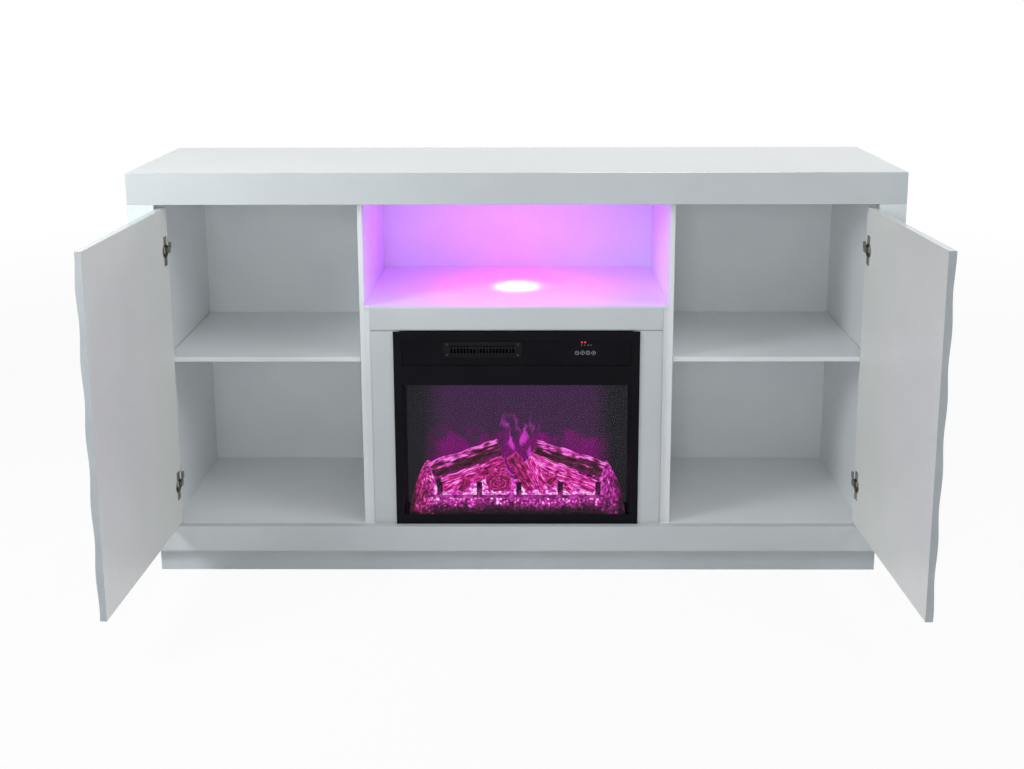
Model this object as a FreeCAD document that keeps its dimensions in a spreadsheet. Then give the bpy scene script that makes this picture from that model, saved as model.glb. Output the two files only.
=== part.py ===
"""Cabinet for a television, with an electric fire in its middle bay and a lit niche above it.

X runs to the right, Y into the cabinet and Z up. The origin is on the floor, under the middle of
the cabinet. The doors are modelled shut and then turned to their open rest position.
"""

import FreeCAD, Part
import Sketcher
import math
import os
import re

doc = FreeCAD.newDocument("FireplaceStand")
sheet = doc.addObject("Spreadsheet::Sheet", "Sizes")

# Driving sizes in millimetres, angles in degrees
carcass = {
    "cabinet_width": 1400,
    "cabinet_depth": 340,
    "cabinet_height": 772,
    "panel": 16,
    "thin_panel": 9,
    "back_thickness": 4,
    "fascia_height": 58,
    "side_width": 48,
    "apron_height": 49,
    "plinth_height": 47,
    "plinth_inset": 18,
    "divider_setback": 20,
    "shelf_setback": 24,
    "shelf_play": 1,
    "shelf_height_share": 0.513,
    "pin_radius": 2.5,
    "pin_grip": 7,
    "pin_reach": 8,
    "pin_setback": 45,
    "cable_hole_radius": 30,
    "overrun": 1,
    "play": 0.05,
}

surround = {
    "rail_height": 38,
    "surround_margin": 43,
    "surround_thickness": 12,
    "surround_setback": 15,
    "surround_overlap": 11,
}

doors = {
    "door_thickness": 10.5,
    "door_side_gap": 2.5,
    "door_foot_gap": 2,
    "door_head_gap": 8,
    "door_back_gap": 2,
    "door_lap": 8,
    "door_chamfer": 5,
    "wave_height": 2.5,
    "wave_pitch": 117,
    "wave_slant": 60,
    "left_wave_start": 61,
    "right_wave_start": 7,
    "open_angle": 93,
}

hinges = {
    "hinge_inset": 78,
    "pivot_inset": 8.3,
    "pivot_depth": 4.5,
    "cup_radius": 13,
    "cup_wall": 1,
    "cup_depth": 8.5,
    "cup_edge": 3,
    "cup_fit": 0.1,
    "cheek_gap": 0.5,
    "cheek_grip": 2.5,
    "cheek_half": 3.5,
    "cheek_drop": 1.2,
    "flange_length": 54,
    "flange_width": 13,
    "flange_thickness": 1,
    "hinge_pin_radius": 1.5,
    "knuckle_radius": 2.6,
    "arm_thickness": 1.5,
    "arm_width": 11,
    "arm_gap": 1.2,
    "channel_depth": 8,
    "channel_length": 36,
    "plate_length": 44,
    "plate_height": 30,
    "plate_thickness": 2,
    "plate_screw_spread": 10.5,
    "cup_screw_spread": 19,
    "screw_radius": 1.6,
    "screw_head_radius": 3,
    "screw_head_height": 1.5,
    "screw_grip": 7,
}

spotlight = {
    "spot_radius": 27,
    "spot_ring": 5,
    "spot_ring_height": 3,
    "spot_depth": 22,
    "spot_lens_radius": 22,
    "spot_lens_height": 7,
    "spot_lens_sink": 0.5,
    "spot_setback": 166,
    "driver_length": 110,
    "driver_width": 45,
    "driver_height": 22,
    "driver_offset": 120,
}

insert = {
    "insert_width": 456,
    "insert_height": 378,
    "bezel_thickness": 3,
    "bezel_side": 15,
    "bezel_sill": 19,
    "bezel_head": 17,
    "bezel_band": 37,
    "bezel_lap": 1.5,
    "panel_opening": 49,
    "plate_gauge": 2,
    "glass_thickness": 3,
    "casing_depth": 135,
    "casing_drop": 4,
    "casing_play": 1,
    "gauge": 1.2,
    "tray_drop": 18,
    "gland_radius": 8,
    "gland_length": 16,
    "gland_nut_radius": 11,
    "gland_nut_height": 4,
    "gland_offset": 165,
    "gland_rise": 100,
}

heater = {
    "grille_width": 120,
    "grille_height": 15,
    "grille_offset": -63,
    "grille_rise": 31.5,
    "grille_rim": 7.5,
    "grille_side_rim": 12.5,
    "grille_lip": 1.5,
    "grille_lip_height": 2.5,
    "grille_gauge": 1.5,
    "grille_slots": 20,
    "grille_slot_share": 0.62,
    "grille_screw_radius": 1.2,
    "grille_screw_head": 2,
    "grille_screw_height": 0.8,
    "grille_screw_side": 5.75,
    "grille_screw_rise": 2.75,
    "duct_margin": 18.5,
    "duct_depth": 84,
    "duct_height": 62,
    "wheel_radius": 21,
    "wheel_setback": 56,
    "wheel_end_gap": 5,
    "wheel_disc": 1.5,
    "blade_count": 16,
    "blade_gauge": 0.8,
    "blade_width": 8,
    "shaft_radius": 2.5,
    "motor_radius": 23,
    "motor_length": 28,
    "bush_radius": 6,
    "bush_length": 8,
    "element_setback": 8,
    "element_depth": 14,
    "element_height": 50,
    "element_margin": 5,
    "element_frame": 4,
    "element_bars": 6,
    "element_bar": 2,
}

controls = {
    "key_radius": 4.3,
    "key_play": 0.2,
    "key_pitch": 10.1,
    "key_row": 127,
    "key_rise": 25,
    "key_proud": 1.2,
    "key_flange": 0.4,
    "key_flange_height": 1,
    "key_travel": 0.8,
    "key_slack": 0.1,
    "switch_size": 6,
    "switch_height": 4,
    "switch_gap": 0.3,
    "board_thickness": 1.6,
    "board_width": 62,
    "board_height": 44,
    "boss_radius": 2.5,
    "boss_margin": 3.5,
    "lamp_radius": 1.5,
    "lamp_pitch": 6.2,
    "lamp_shift": -3.3,
    "lamp_lift": 20,
    "lamp_proud": 0.4,
}

fire = {
    "bed_gap": 10,
    "bed_half": 206,
    "bed_depth": 74,
    "bed_lip": 14,
    "bed_ledge": 38,
    "bed_slope": 10,
    "bed_ledge_end": 43,
    "bed_step": 47,
    "bed_back": 60.5,
    "grate_half": 176,
    "grate_setback": 13,
    "grate_bar": 5,
    "grate_post_width": 10,
    "grate_post_height": 31,
    "log_radius": 15,
    "log_tip_radius": 14,
    "log_setback": 60.5,
    "log_reach": 172,
    "log_lean_angle": 20,
    "log_length": 146,
    "front_log_radius": 12,
    "front_log_tip_radius": 10,
    "front_log_setback": 31,
    "front_log_reach": 78,
    "front_log_lean_angle": 48,
    "front_log_length": 100,
    "screen_gap": 5,
    "screen_thickness": 3,
    "rotor_gap": 20,
    "rotor_rise": 46,
    "rotor_shaft_radius": 2,
    "rotor_flag_radius": 14,
    "rotor_flag_width": 26,
    "rotor_flag_gauge": 0.8,
    "rotor_flags": 9,
    "rotor_end_gap": 3,
    "rotor_motor_radius": 17,
    "rotor_motor_length": 18,
    "strip_half": 180,
    "strip_height": 20,
    "strip_gap": 3,
    "diode_size": 5,
    "diode_height": 1.5,
    "diode_count": 12,
}

names = {}
row = 0
for section in (carcass, surround, doors, hinges, spotlight, insert, heater, controls, fire):
    for alias, amount in section.items():
        row += 1
        sheet.set(f"A{row}", alias)
        sheet.set(f"B{row}", str(amount))
        sheet.setAlias(f"B{row}", alias)
        names[alias] = amount
doc.recompute()

nodes = []


def bound(text):
    """The expression with each alias pointed at its cell."""
    return re.sub(r"[a-z][a-z_]+", lambda m: f"Sizes.{m[0]}" if m[0] in names else m[0], text)


def size(alias):
    """A cell's number, for the shapes that are set by code."""
    return float(sheet.get(alias))


def tie(item, **expressions):
    """Binds properties to the sheet; Placement members are written with two underscores."""
    for name, text in expressions.items():
        item.setExpression(name.replace("__", "."), bound(text))
    return item


def keep(item, label):
    """Names a finished sub-part, which is then written to its own file."""
    item.Label = label
    nodes.append(item)
    return item


def flip(span, side):
    """The X span on the right-hand side, or its mirror image on the left."""
    return span if side > 0 else (f"-({span[1]})", f"-({span[0]})")


def box(xs, ys, zs, side=1):
    """A block between pairs of planes."""
    xs = flip(xs, side)
    item = doc.addObject("Part::Box", "block")
    tie(item, Length=f"({xs[1]}) - ({xs[0]})")
    tie(item, Width=f"({ys[1]}) - ({ys[0]})")
    tie(item, Height=f"({zs[1]}) - ({zs[0]})")
    return tie(item, Placement__Base__x=xs[0], Placement__Base__y=ys[0], Placement__Base__z=zs[0])


def rod(radius, axis, start, end, first, second, side=1):
    """A cylinder along an axis; first and second place it on the other two axes, in order."""
    if axis == "X":
        start, end = flip((start, end), side)
    elif side < 0:
        first = f"-({first})"
    item = doc.addObject("Part::Cylinder", "rod")
    turns = {"X": ((0, 1, 0), 90), "Y": ((1, 0, 0), -90), "Z": ((0, 0, 1), 0)}
    direction, degrees = turns[axis]
    item.Placement = FreeCAD.Placement(FreeCAD.Vector(), FreeCAD.Rotation(FreeCAD.Vector(direction), degrees))
    tie(item, Radius=radius, Height=f"({end}) - ({start})")
    places = {"X": (start, first, second), "Y": (first, start, second), "Z": (first, second, start)}
    x, y, z = places[axis]
    return tie(item, Placement__Base__x=x, Placement__Base__y=y, Placement__Base__z=z)


def group(items):
    """Separate solids that are kept together."""
    item = doc.addObject("Part::Compound", "set")
    item.Links = items
    return item


def fuse(items):
    """Several shapes grown into one."""
    item = doc.addObject("Part::MultiFuse", "fused")
    item.Shapes = items
    item.Refine = True
    return item


def cut(base, tools):
    """A shape with one or more others taken away."""
    item = doc.addObject("Part::Cut", "cut")
    item.Base = base
    item.Tool = tools[0] if len(tools) == 1 else group(tools)
    return item


def extrusion(label, points, half_length):
    """A profile of (Y, Z) points, each bound to the sheet, padded both ways along X."""
    body = doc.addObject("PartDesign::Body", label)
    plane = [item for item in body.Origin.OriginFeatures if item.Role == "YZ_Plane"][0]
    sketch = body.newObject("Sketcher::SketchObject", f"{label}_profile")
    sketch.AttachmentSupport = [(plane, "")]
    sketch.MapMode = "FlatFace"
    count = len(points)
    turns = [2 * math.pi * index / count for index in range(count)]
    corners = [FreeCAD.Vector(math.cos(turn), math.sin(turn), 0) * size("panel") for turn in turns]
    for index, corner in enumerate(corners):
        sketch.addGeometry(Part.LineSegment(corner, corners[(index + 1) % count]), False)
    for index in range(count):
        sketch.addConstraint(Sketcher.Constraint("Coincident", index, 2, (index + 1) % count, 1))
    for index, (corner, point) in enumerate(zip(corners, points)):
        for kind, amount, text in (("DistanceX", corner.x, point[0]), ("DistanceY", corner.y, point[1])):
            number = sketch.addConstraint(Sketcher.Constraint(kind, -1, 1, index, 1, amount))
            sketch.setExpression(f"Constraints[{number}]", bound(text))
    pad = body.newObject("PartDesign::Pad", f"{label}_pad")
    pad.Profile = sketch
    pad.Midplane = True
    tie(pad, Length=f"2 * ({half_length})")
    return keep(body, label)


def both(distance):
    """A span the same distance either side of the middle."""
    return (f"-({distance})", distance)


def about(centre, width):
    """A span of a width about a centre."""
    return (f"{centre} - ({width}) / 2", f"{centre} + ({width}) / 2")


hands = ((-1, "left"), (1, "right"))

# Planes of the carcass
half = "(cabinet_width / 2)"
front = "(-cabinet_depth / 2)"
rear = "(cabinet_depth / 2)"
floor = "(plinth_height + apron_height)"
eave = "(cabinet_height - fascia_height)"
top_under = "(cabinet_height - panel)"
board_back = f"({front} + panel)"
back_face = f"({rear} - back_thickness)"
wall = "(cabinet_width / 2 - side_width)"
bay = "(insert_width / 2 + surround_margin)"
niche = f"({bay} + thin_panel)"
divider = f"({niche} + thin_panel)"
divider_front = f"({front} + divider_setback)"
niche_under = f"({floor} + insert_height + rail_height)"
shelf_under = f"({floor} + ({eave} - {floor}) * shelf_height_share)"
shelf_front = f"({front} + shelf_setback)"

# Planes of the insert
bezel_back = f"({front} + surround_setback)"
bezel_front = f"({bezel_back} - bezel_thickness)"
insert_half = "(insert_width / 2)"
insert_top = f"({floor} + insert_height)"
casing_half = "(insert_width / 2 - surround_overlap - casing_play)"
casing_in = f"({casing_half} - gauge)"
casing_rear = f"({bezel_back} + casing_depth)"
inner_rear = f"({casing_rear} - gauge)"
casing_top = f"({insert_top} - casing_drop)"
hearth = f"({floor} + gauge)"
opening_half = "(insert_width / 2 - bezel_side)"
panel_top = f"({insert_top} - bezel_head)"
panel_foot = f"({panel_top} - panel_opening)"
glass_top = f"({panel_foot} - bezel_band)"
glass_foot = f"({floor} + bezel_sill)"
plate_back = f"({bezel_back} + plate_gauge)"
glass_back = f"({bezel_back} + glass_thickness)"
tray_under = f"({panel_foot} - tray_drop)"
tray_top = f"({tray_under} + gauge)"

# Door and hinge places with the doors shut, on the right-hand side
hinge_edge = f"({wall} - door_side_gap)"
door_free = f"({divider} - door_lap)"
door_inner = f"({divider_front} - door_back_gap)"
door_foot = f"({floor} + door_foot_gap)"
door_head = f"({eave} - door_head_gap)"
pivot_x = f"({hinge_edge} - pivot_inset)"
pivot_y = f"({door_inner} - pivot_depth)"
cup_x = f"({hinge_edge} - cup_edge - cup_radius)"
elbow = f"({pivot_x} - pivot_depth - flange_thickness - arm_gap - arm_thickness / 2)"
crank = f"({pivot_y} + sqrt(pivot_inset^2 + pivot_depth^2) + arm_gap + arm_thickness / 2)"
plate_start = f"({crank} - arm_thickness / 2)"
plate_face = f"({wall} - plate_thickness)"
plate_middle = f"({plate_start} + plate_length / 2)"
pin_half = "(arm_width / 2 + cheek_gap + cheek_grip)"
levels = (f"({door_foot} + hinge_inset)", f"({door_head} - hinge_inset)")
plate_screws = [(level, f"({level} {sign} plate_screw_spread)") for level in levels for sign in "+-"]
pin_rows = (f"({shelf_front} + pin_setback)", f"({back_face} - pin_setback)")
pin_height = f"({shelf_under} - pin_radius)"


def plain(label, xs, ys, zs, side=1):
    """A sub-part that is one square-edged board."""
    return keep(box(xs, ys, zs, side), label)


# Top, with the fascia mitred to its front edge
extrusion(
    "top_panel",
    [(front, "cabinet_height"), (rear, "cabinet_height"), (rear, top_under), (board_back, top_under)],
    half,
)
extrusion(
    "top_fascia",
    [(front, "cabinet_height"), (board_back, top_under), (board_back, eave), (front, eave)],
    half,
)

# Side walls: outer panel, front stile and a thick inner board that takes hinges and shelf pins
for side, hand in hands:
    side_zs = ("plinth_height", top_under)
    plain(f"{hand}_side_panel", (f"{half} - panel", half), (board_back, rear), side_zs, side)
    plain(f"{hand}_front_stile", (wall, half), (front, board_back), (floor, eave), side)
    blank = box((wall, f"{half} - panel"), (board_back, back_face), (floor, eave), side)
    holes = []
    for level, height in plate_screws:
        depth = f"{wall} + screw_grip + overrun"
        holes.append(rod("screw_radius + play", "X", f"{wall} - overrun", depth, plate_middle, height, side))
    for place in pin_rows:
        depth = f"{wall} + pin_grip"
        holes.append(rod("pin_radius + play", "X", f"{wall} - overrun", depth, place, pin_height, side))
    keep(cut(blank, holes), f"{hand}_inner_side")

# Bottom, apron and plinth
plain("bottom_panel", both(f"{half} - panel"), (board_back, back_face), (f"{floor} - panel", floor))
plain("bottom_apron", both(half), (front, board_back), ("plinth_height", floor))
plinth_out = f"({half} - plinth_inset)"
plinth_front = f"({front} + plinth_inset)"
plinth_zs = ("0", f"{floor} - panel")
plinth_ys = (f"{plinth_front} + panel", f"{rear} - panel")
keep(
    group(
        [
            box(both(plinth_out), (plinth_front, f"{plinth_front} + panel"), plinth_zs),
            box(both(plinth_out), (f"{rear} - panel", rear), plinth_zs),
            box((f"{plinth_out} - panel", plinth_out), plinth_ys, plinth_zs, -1),
            box((f"{plinth_out} - panel", plinth_out), plinth_ys, plinth_zs),
            box(about("0", "panel"), plinth_ys, plinth_zs),
        ]
    ),
    "plinth_frame",
)

# Dividers, the liners beside the fire, the niche floor, the ceiling and the back
inner_ys = (divider_front, back_face)
for side, hand in hands:
    blank = box((niche, divider), inner_ys, (floor, eave), side)
    holes = []
    for place in pin_rows:
        start = f"{divider} - pin_grip"
        holes.append(rod("pin_radius + play", "X", start, f"{divider} + overrun", place, pin_height, side))
    keep(cut(blank, holes), f"{hand}_divider")
keep(group([box((bay, niche), inner_ys, (floor, niche_under), side) for side, hand in hands]), "bay_liners")
plain("niche_floor", both(niche), inner_ys, (niche_under, f"{niche_under} + thin_panel"))
spot_y = f"({front} + spot_setback)"
ceiling_top = f"({eave} + thin_panel)"
ceiling = box(both(f"{half} - panel"), (board_back, back_face), (eave, ceiling_top))
spot_hole = rod("spot_radius + play", "Z", f"{eave} - overrun", f"{ceiling_top} + overrun", "0", spot_y)
keep(cut(ceiling, [spot_hole]), "ceiling_panel")
gland_z = f"({hearth} + gland_rise)"
back_board = box(both(f"{half} - panel"), (back_face, rear), (f"{floor} - panel", top_under))
cable_hole = rod(
    "cable_hole_radius", "Y", f"{back_face} - overrun", f"{rear} + overrun", "gland_offset", gland_z
)
keep(cut(back_board, [cable_hole]), "back_panel")

# Shelves on pins
shelf_xs = (f"{divider} + shelf_play", f"{wall} - shelf_play")
shelf_ys = (shelf_front, f"{back_face} - shelf_play")
pins = []
for side, hand in hands:
    plain(f"{hand}_shelf", shelf_xs, shelf_ys, (shelf_under, f"{shelf_under} + thin_panel"), side)
    for place in pin_rows:
        wall_ends = (f"{wall} - pin_reach", f"{wall} + pin_grip")
        divider_ends = (f"{divider} - pin_grip", f"{divider} + pin_reach")
        pins.append(rod("pin_radius", "X", *wall_ends, place, pin_height, side))
        pins.append(rod("pin_radius", "X", *divider_ends, place, pin_height, side))
keep(group(pins), "shelf_pins")

# White surround of the fire
surround_ys = (bezel_back, f"{bezel_back} + surround_thickness")
rail = box(both(bay), surround_ys, (insert_top, niche_under))
rail_lip = box(both(bay), (bezel_back, divider_front), (niche_under, f"{niche_under} + thin_panel"))
keep(fuse([rail, rail_lip]), "surround_top_rail")
stile_xs = (f"{insert_half} - surround_overlap", bay)
stile_zs = (floor, insert_top)
keep(group([box(stile_xs, surround_ys, stile_zs, side) for side, hand in hands]), "surround_stiles")


def turn_open(item, side):
    """Turns a door's piece about its hinge pins to the open rest position."""
    item.Placement = FreeCAD.Placement(FreeCAD.Vector(), FreeCAD.Rotation(FreeCAD.Vector(0, 0, side), 1))
    x = f"({side} * {pivot_x})"
    cosine = "cos(open_angle)"
    sine = f"({side} * sin(open_angle))"
    tie(item, Placement__Rotation__Angle="open_angle")
    return tie(
        item,
        Placement__Base__x=f"{x} - {x} * {cosine} + {pivot_y} * {sine}",
        Placement__Base__y=f"{pivot_y} - {x} * {sine} - {pivot_y} * {cosine}",
    )


def hinge_cup(side, level):
    """The steel cup let into the door: flange, cheeks that hold the pin, and screw holes."""
    bottom = f"{door_inner} - cup_depth"
    flange_top = f"({door_inner} + flange_thickness)"
    shell = rod("cup_radius", "Y", bottom, door_inner, cup_x, level, side)
    rim = rod("cup_radius + cup_wall", "Y", door_inner, flange_top, cup_x, level, side)
    ears = box(about(cup_x, "flange_width"), (door_inner, flange_top), about(level, "flange_length"), side)
    bowl_ys = (f"{bottom} + cup_wall", f"{flange_top} + overrun")
    bowl = rod("cup_radius - cup_wall", "Y", *bowl_ys, cup_x, level, side)
    cheek_xs = about(pivot_x, "2 * cheek_half")
    cheek_ys = (bottom, f"{door_inner} - cheek_drop")
    cheek_start = "(arm_width / 2 + cheek_gap)"
    cheeks = []
    for zs in (
        (f"{level} + {cheek_start}", f"{level} + cup_radius"),
        (f"{level} - cup_radius", f"{level} - {cheek_start}"),
    ):
        cheeks.append(box(cheek_xs, cheek_ys, zs, side))
    reach = about(level, f"2 * ({pin_half} + cup_fit)")
    bore = rod("hinge_pin_radius + play", "Z", *reach, pivot_x, pivot_y, side)
    tools = [cut(bowl, cheeks), bore]
    for sign in "+-":
        height = f"{level} {sign} cup_screw_spread"
        start = f"{door_inner} - overrun"
        tools.append(rod("screw_radius + play", "Y", start, f"{flange_top} + overrun", cup_x, height, side))
    return cut(fuse([shell, rim, ears]), [fuse(tools)])


def cup_screw(side, height):
    """A pan-head screw through a cup's ear into the door."""
    top = f"({door_inner} + flange_thickness)"
    head = rod("screw_head_radius", "Y", top, f"{top} + screw_head_height", cup_x, height, side)
    shank = rod("screw_radius", "Y", f"{top} - screw_grip", top, cup_x, height, side)
    return fuse([head, shank])


def hinge_arm(side, level):
    """The cranked arm from the side wall to the knuckle inside the cup."""
    zs = about(level, "arm_width")
    knuckle = rod("knuckle_radius", "Z", *zs, pivot_x, pivot_y, side)
    link = box((f"{elbow} - arm_thickness / 2", pivot_x), about(pivot_y, "arm_thickness"), zs, side)
    rise = box(about(elbow, "arm_thickness"), (pivot_y, crank), zs, side)
    run = box((f"{elbow} - arm_thickness / 2", plate_face), about(crank, "arm_thickness"), zs, side)
    body_ys = (plate_start, f"{plate_start} + channel_length")
    channel = box((f"{plate_face} - channel_depth", plate_face), body_ys, zs, side)
    ends = (f"{zs[0]} - overrun", f"{zs[1]} + overrun")
    bore = rod("hinge_pin_radius + play", "Z", *ends, pivot_x, pivot_y, side)
    return cut(fuse([knuckle, link, rise, run, channel]), [bore])


def hinge_pin(side, level):
    """The pin, held in the arm and turning in the cheeks of the cup."""
    return rod("hinge_pin_radius", "Z", *about(level, f"2 * {pin_half}"), pivot_x, pivot_y, side)


def hinge_plate(side, level):
    """The mounting plate on the side wall, drilled for its two screws."""
    plate_ys = (plate_start, f"{plate_start} + plate_length")
    plate = box((plate_face, wall), plate_ys, about(level, "plate_height"), side)
    tools = []
    for sign in "+-":
        height = f"{level} {sign} plate_screw_spread"
        ends = (f"{plate_face} - overrun", f"{wall} + overrun")
        tools.append(rod("screw_radius + play", "X", *ends, plate_middle, height, side))
    return cut(plate, tools)


def plate_screw(side, height):
    """A screw through a mounting plate into the side wall."""
    head = rod(
        "screw_head_radius", "X", f"{plate_face} - screw_head_height", plate_face, plate_middle, height, side
    )
    shank = rod("screw_radius", "X", plate_face, f"{wall} + screw_grip", plate_middle, height, side)
    return fuse([head, shank])


keep(group([hinge_arm(side, level) for side, hand in hands for level in levels]), "hinge_arms")
keep(group([hinge_pin(side, level) for side, hand in hands for level in levels]), "hinge_pins")
keep(group([hinge_plate(side, level) for side, hand in hands for level in levels]), "hinge_plates")
plate_fixings = [plate_screw(side, height) for side, hand in hands for level, height in plate_screws]
keep(group(plate_fixings), "hinge_plate_screws")

cup_screws = [f"({level} {sign} cup_screw_spread)" for level in levels for sign in "+-"]
for side, hand in hands:
    cups = group([hinge_cup(side, level) for level in levels])
    keep(turn_open(cups, side), f"{hand}_hinge_cups")
    screws = group([cup_screw(side, height) for height in cup_screws])
    keep(turn_open(screws, side), f"{hand}_cup_screws")

# Spotlight in the ceiling of the niche, with its driver on top of the ceiling
ring_under = f"({eave} - spot_ring_height)"
lens_under = f"({ring_under} + spot_lens_sink)"
can = rod("spot_radius", "Z", ring_under, f"{eave} + spot_depth", "0", spot_y)
ring = rod("spot_radius + spot_ring", "Z", ring_under, eave, "0", spot_y)
socket = rod(
    "spot_lens_radius + play", "Z", f"{ring_under} - overrun", f"{lens_under} + spot_lens_height", "0", spot_y
)
keep(cut(fuse([can, ring]), [socket]), "spot_housing")
keep(rod("spot_lens_radius", "Z", lens_under, f"{lens_under} + spot_lens_height", "0", spot_y), "spot_lens")
driver_xs = ("driver_offset", "driver_offset + driver_length")
plain("led_driver", driver_xs, about(spot_y, "driver_width"), (ceiling_top, f"{ceiling_top} + driver_height"))

# Steel casing and black front of the insert
shell = box(both(casing_half), (bezel_back, casing_rear), (floor, casing_top))
hollow = box(both(casing_in), (f"{bezel_back} - overrun", inner_rear), (hearth, f"{casing_top} - gauge"))
gland_hole = rod(
    "gland_radius + play", "Y", f"{inner_rear} - overrun", f"{casing_rear} + overrun", "gland_offset", gland_z
)
keep(cut(shell, [hollow, gland_hole]), "insert_casing")
face = box(both(insert_half), (bezel_front, bezel_back), (floor, insert_top))
through = (f"{bezel_front} - overrun", f"{bezel_back} + overrun")
openings = [
    box(both(opening_half), through, (panel_foot, panel_top)),
    box(both(opening_half), through, (glass_foot, glass_top)),
]
keep(cut(face, openings), "insert_bezel")
lapped = both(f"{opening_half} + bezel_lap")
glass_zs = (f"{glass_foot} - bezel_lap", f"{glass_top} + bezel_lap")
plain("window_glass", lapped, (bezel_back, glass_back), glass_zs)
nut_back = f"({inner_rear} - gland_nut_height)"
collar_back = f"({casing_rear} + gland_nut_height)"
barrel = rod("gland_radius", "Y", nut_back, f"{casing_rear} + gland_length", "gland_offset", gland_z)
nut = rod("gland_nut_radius", "Y", nut_back, inner_rear, "gland_offset", gland_z)
collar = rod("gland_nut_radius", "Y", casing_rear, collar_back, "gland_offset", gland_z)
keep(fuse([barrel, nut, collar]), "mains_gland")

# Control panel with the heater grille, keys and lamps
grille_z = f"({panel_foot} + grille_rise)"
key_z = f"({panel_foot} + key_rise)"
key_names = ("power_key", "flame_key", "low_heat_key", "high_heat_key")
middle = (len(key_names) - 1) / 2
key_places = [f"(key_row + ({index - middle}) * key_pitch)" for index in range(len(key_names))]
flange_front = f"({plate_back} + key_slack)"
flange_back = f"({flange_front} + key_flange_height)"
switch_front = f"({flange_back} + key_travel + switch_gap)"
board_front = f"({switch_front} + switch_height)"
board_foot = f"({panel_foot} + boss_margin)"
lamp_z = f"({key_z} + lamp_lift)"
lamp_places = [f"(key_row + lamp_shift {sign} lamp_pitch / 2)" for sign in "-+"]
grille_corners = []
for across in "-+":
    for along in "-+":
        x = f"(grille_offset {across} (grille_width / 2 + grille_screw_side))"
        z = f"({grille_z} {along} (grille_height / 2 + grille_screw_rise))"
        grille_corners.append((x, z))
plate_ys = (f"{bezel_back} - overrun", f"{plate_back} + overrun")
plate = box(lapped, (bezel_back, plate_back), (f"{panel_foot} - bezel_lap", f"{panel_top} + bezel_lap"))
plate_cuts = [box(about("grille_offset", "grille_width"), plate_ys, about(grille_z, "grille_height"))]
plate_cuts += [rod("key_radius + key_play", "Y", *plate_ys, x, key_z) for x in key_places]
plate_cuts += [rod("lamp_radius + play", "Y", *plate_ys, x, lamp_z) for x in lamp_places]
plate_cuts += [rod("grille_screw_radius + play", "Y", *plate_ys, x, z) for x, z in grille_corners]
bosses = []
for sign in "-+":
    x = f"key_row {sign} (board_width / 2 - boss_margin)"
    for z in (f"{board_foot} + boss_margin", f"{board_foot} + board_height - boss_margin"):
        bosses.append(rod("boss_radius", "Y", plate_back, board_front, x, z))
keep(fuse([cut(plate, plate_cuts), *bosses]), "control_panel")

grille_front = f"({bezel_back} - grille_gauge)"
grille_ys = (f"{grille_front} - overrun", f"{bezel_back} + overrun")
rim_xs = about("grille_offset", "grille_width + 2 * grille_side_rim")
rim_zs = about(grille_z, "grille_height + 2 * grille_rim")
slots = []
for index in range(int(size("grille_slots"))):
    pitch = "grille_width / grille_slots"
    centre = f"(grille_offset - grille_width / 2 + {pitch} * ({index} + 1 / 2))"
    slot_xs = about(centre, f"{pitch} * grille_slot_share")
    slots.append(box(slot_xs, grille_ys, about(grille_z, "grille_height")))
slots += [rod("grille_screw_radius + play", "Y", *grille_ys, x, z) for x, z in grille_corners]
rim_foot = f"({grille_z} - grille_height / 2 - grille_rim)"
lip_ys = (f"{grille_front} - grille_lip", grille_front)
lip = box(rim_xs, lip_ys, (rim_foot, f"{rim_foot} + grille_lip_height"))
keep(fuse([cut(box(rim_xs, (grille_front, bezel_back), rim_zs), slots), lip]), "heater_grille")
grille_fixings = []
for x, z in grille_corners:
    head = rod("grille_screw_head", "Y", f"{grille_front} - grille_screw_height", grille_front, x, z)
    grille_fixings.append(fuse([head, rod("grille_screw_radius", "Y", grille_front, plate_back, x, z)]))
keep(group(grille_fixings), "grille_screws")

for label, x in zip(key_names, key_places):
    cap = rod("key_radius", "Y", f"{bezel_back} - key_proud", flange_back, x, key_z)
    flange = rod("key_radius + key_flange", "Y", flange_front, flange_back, x, key_z)
    keep(fuse([cap, flange]), label)
board_zs = (board_foot, f"{board_foot} + board_height")
board = [box(about("key_row", "board_width"), (board_front, f"{board_front} + board_thickness"), board_zs)]
for x in key_places:
    board.append(box(about(x, "switch_size"), (switch_front, board_front), about(key_z, "switch_size")))
keep(fuse(board), "control_board")
lamps = [rod("lamp_radius", "Y", f"{bezel_back} - lamp_proud", board_front, x, lamp_z) for x in lamp_places]
keep(group(lamps), "indicator_lamps")

# Fan heater: tray with its duct, blower wheel, motor and heating element
duct_left = "(grille_offset - grille_width / 2 - duct_margin)"
duct_right = "(grille_offset + grille_width / 2 + duct_margin)"
duct_rear = f"({plate_back} + duct_depth)"
duct_top = f"({tray_top} + duct_height)"
wheel_y = f"({plate_back} + wheel_setback)"
wheel_z = f"({tray_top} + duct_height / 2)"
tray = box(both(casing_in), (bezel_back, inner_rear), (tray_under, tray_top))
duct = box((duct_left, duct_right), (plate_back, duct_rear), (tray_top, duct_top))
hollow_xs = (f"{duct_left} + gauge", f"{duct_right} - gauge")
hollow_ys = (f"{plate_back} - overrun", f"{duct_rear} - gauge")
hollow = box(hollow_xs, hollow_ys, (tray_top, f"{duct_top} + overrun"))
shaft_ends = (f"{duct_left} - overrun", f"{duct_right} + overrun")
shaft_way = rod("shaft_radius + overrun", "X", *shaft_ends, wheel_y, wheel_z)
keep(fuse([tray, cut(duct, [fuse([hollow, shaft_way])])]), "heater_tray")
motor = rod("motor_radius", "X", duct_right, f"{duct_right} + motor_length", wheel_y, wheel_z)
bore_ends = (f"{duct_right} - overrun", f"{duct_right} + motor_length / 2")
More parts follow.
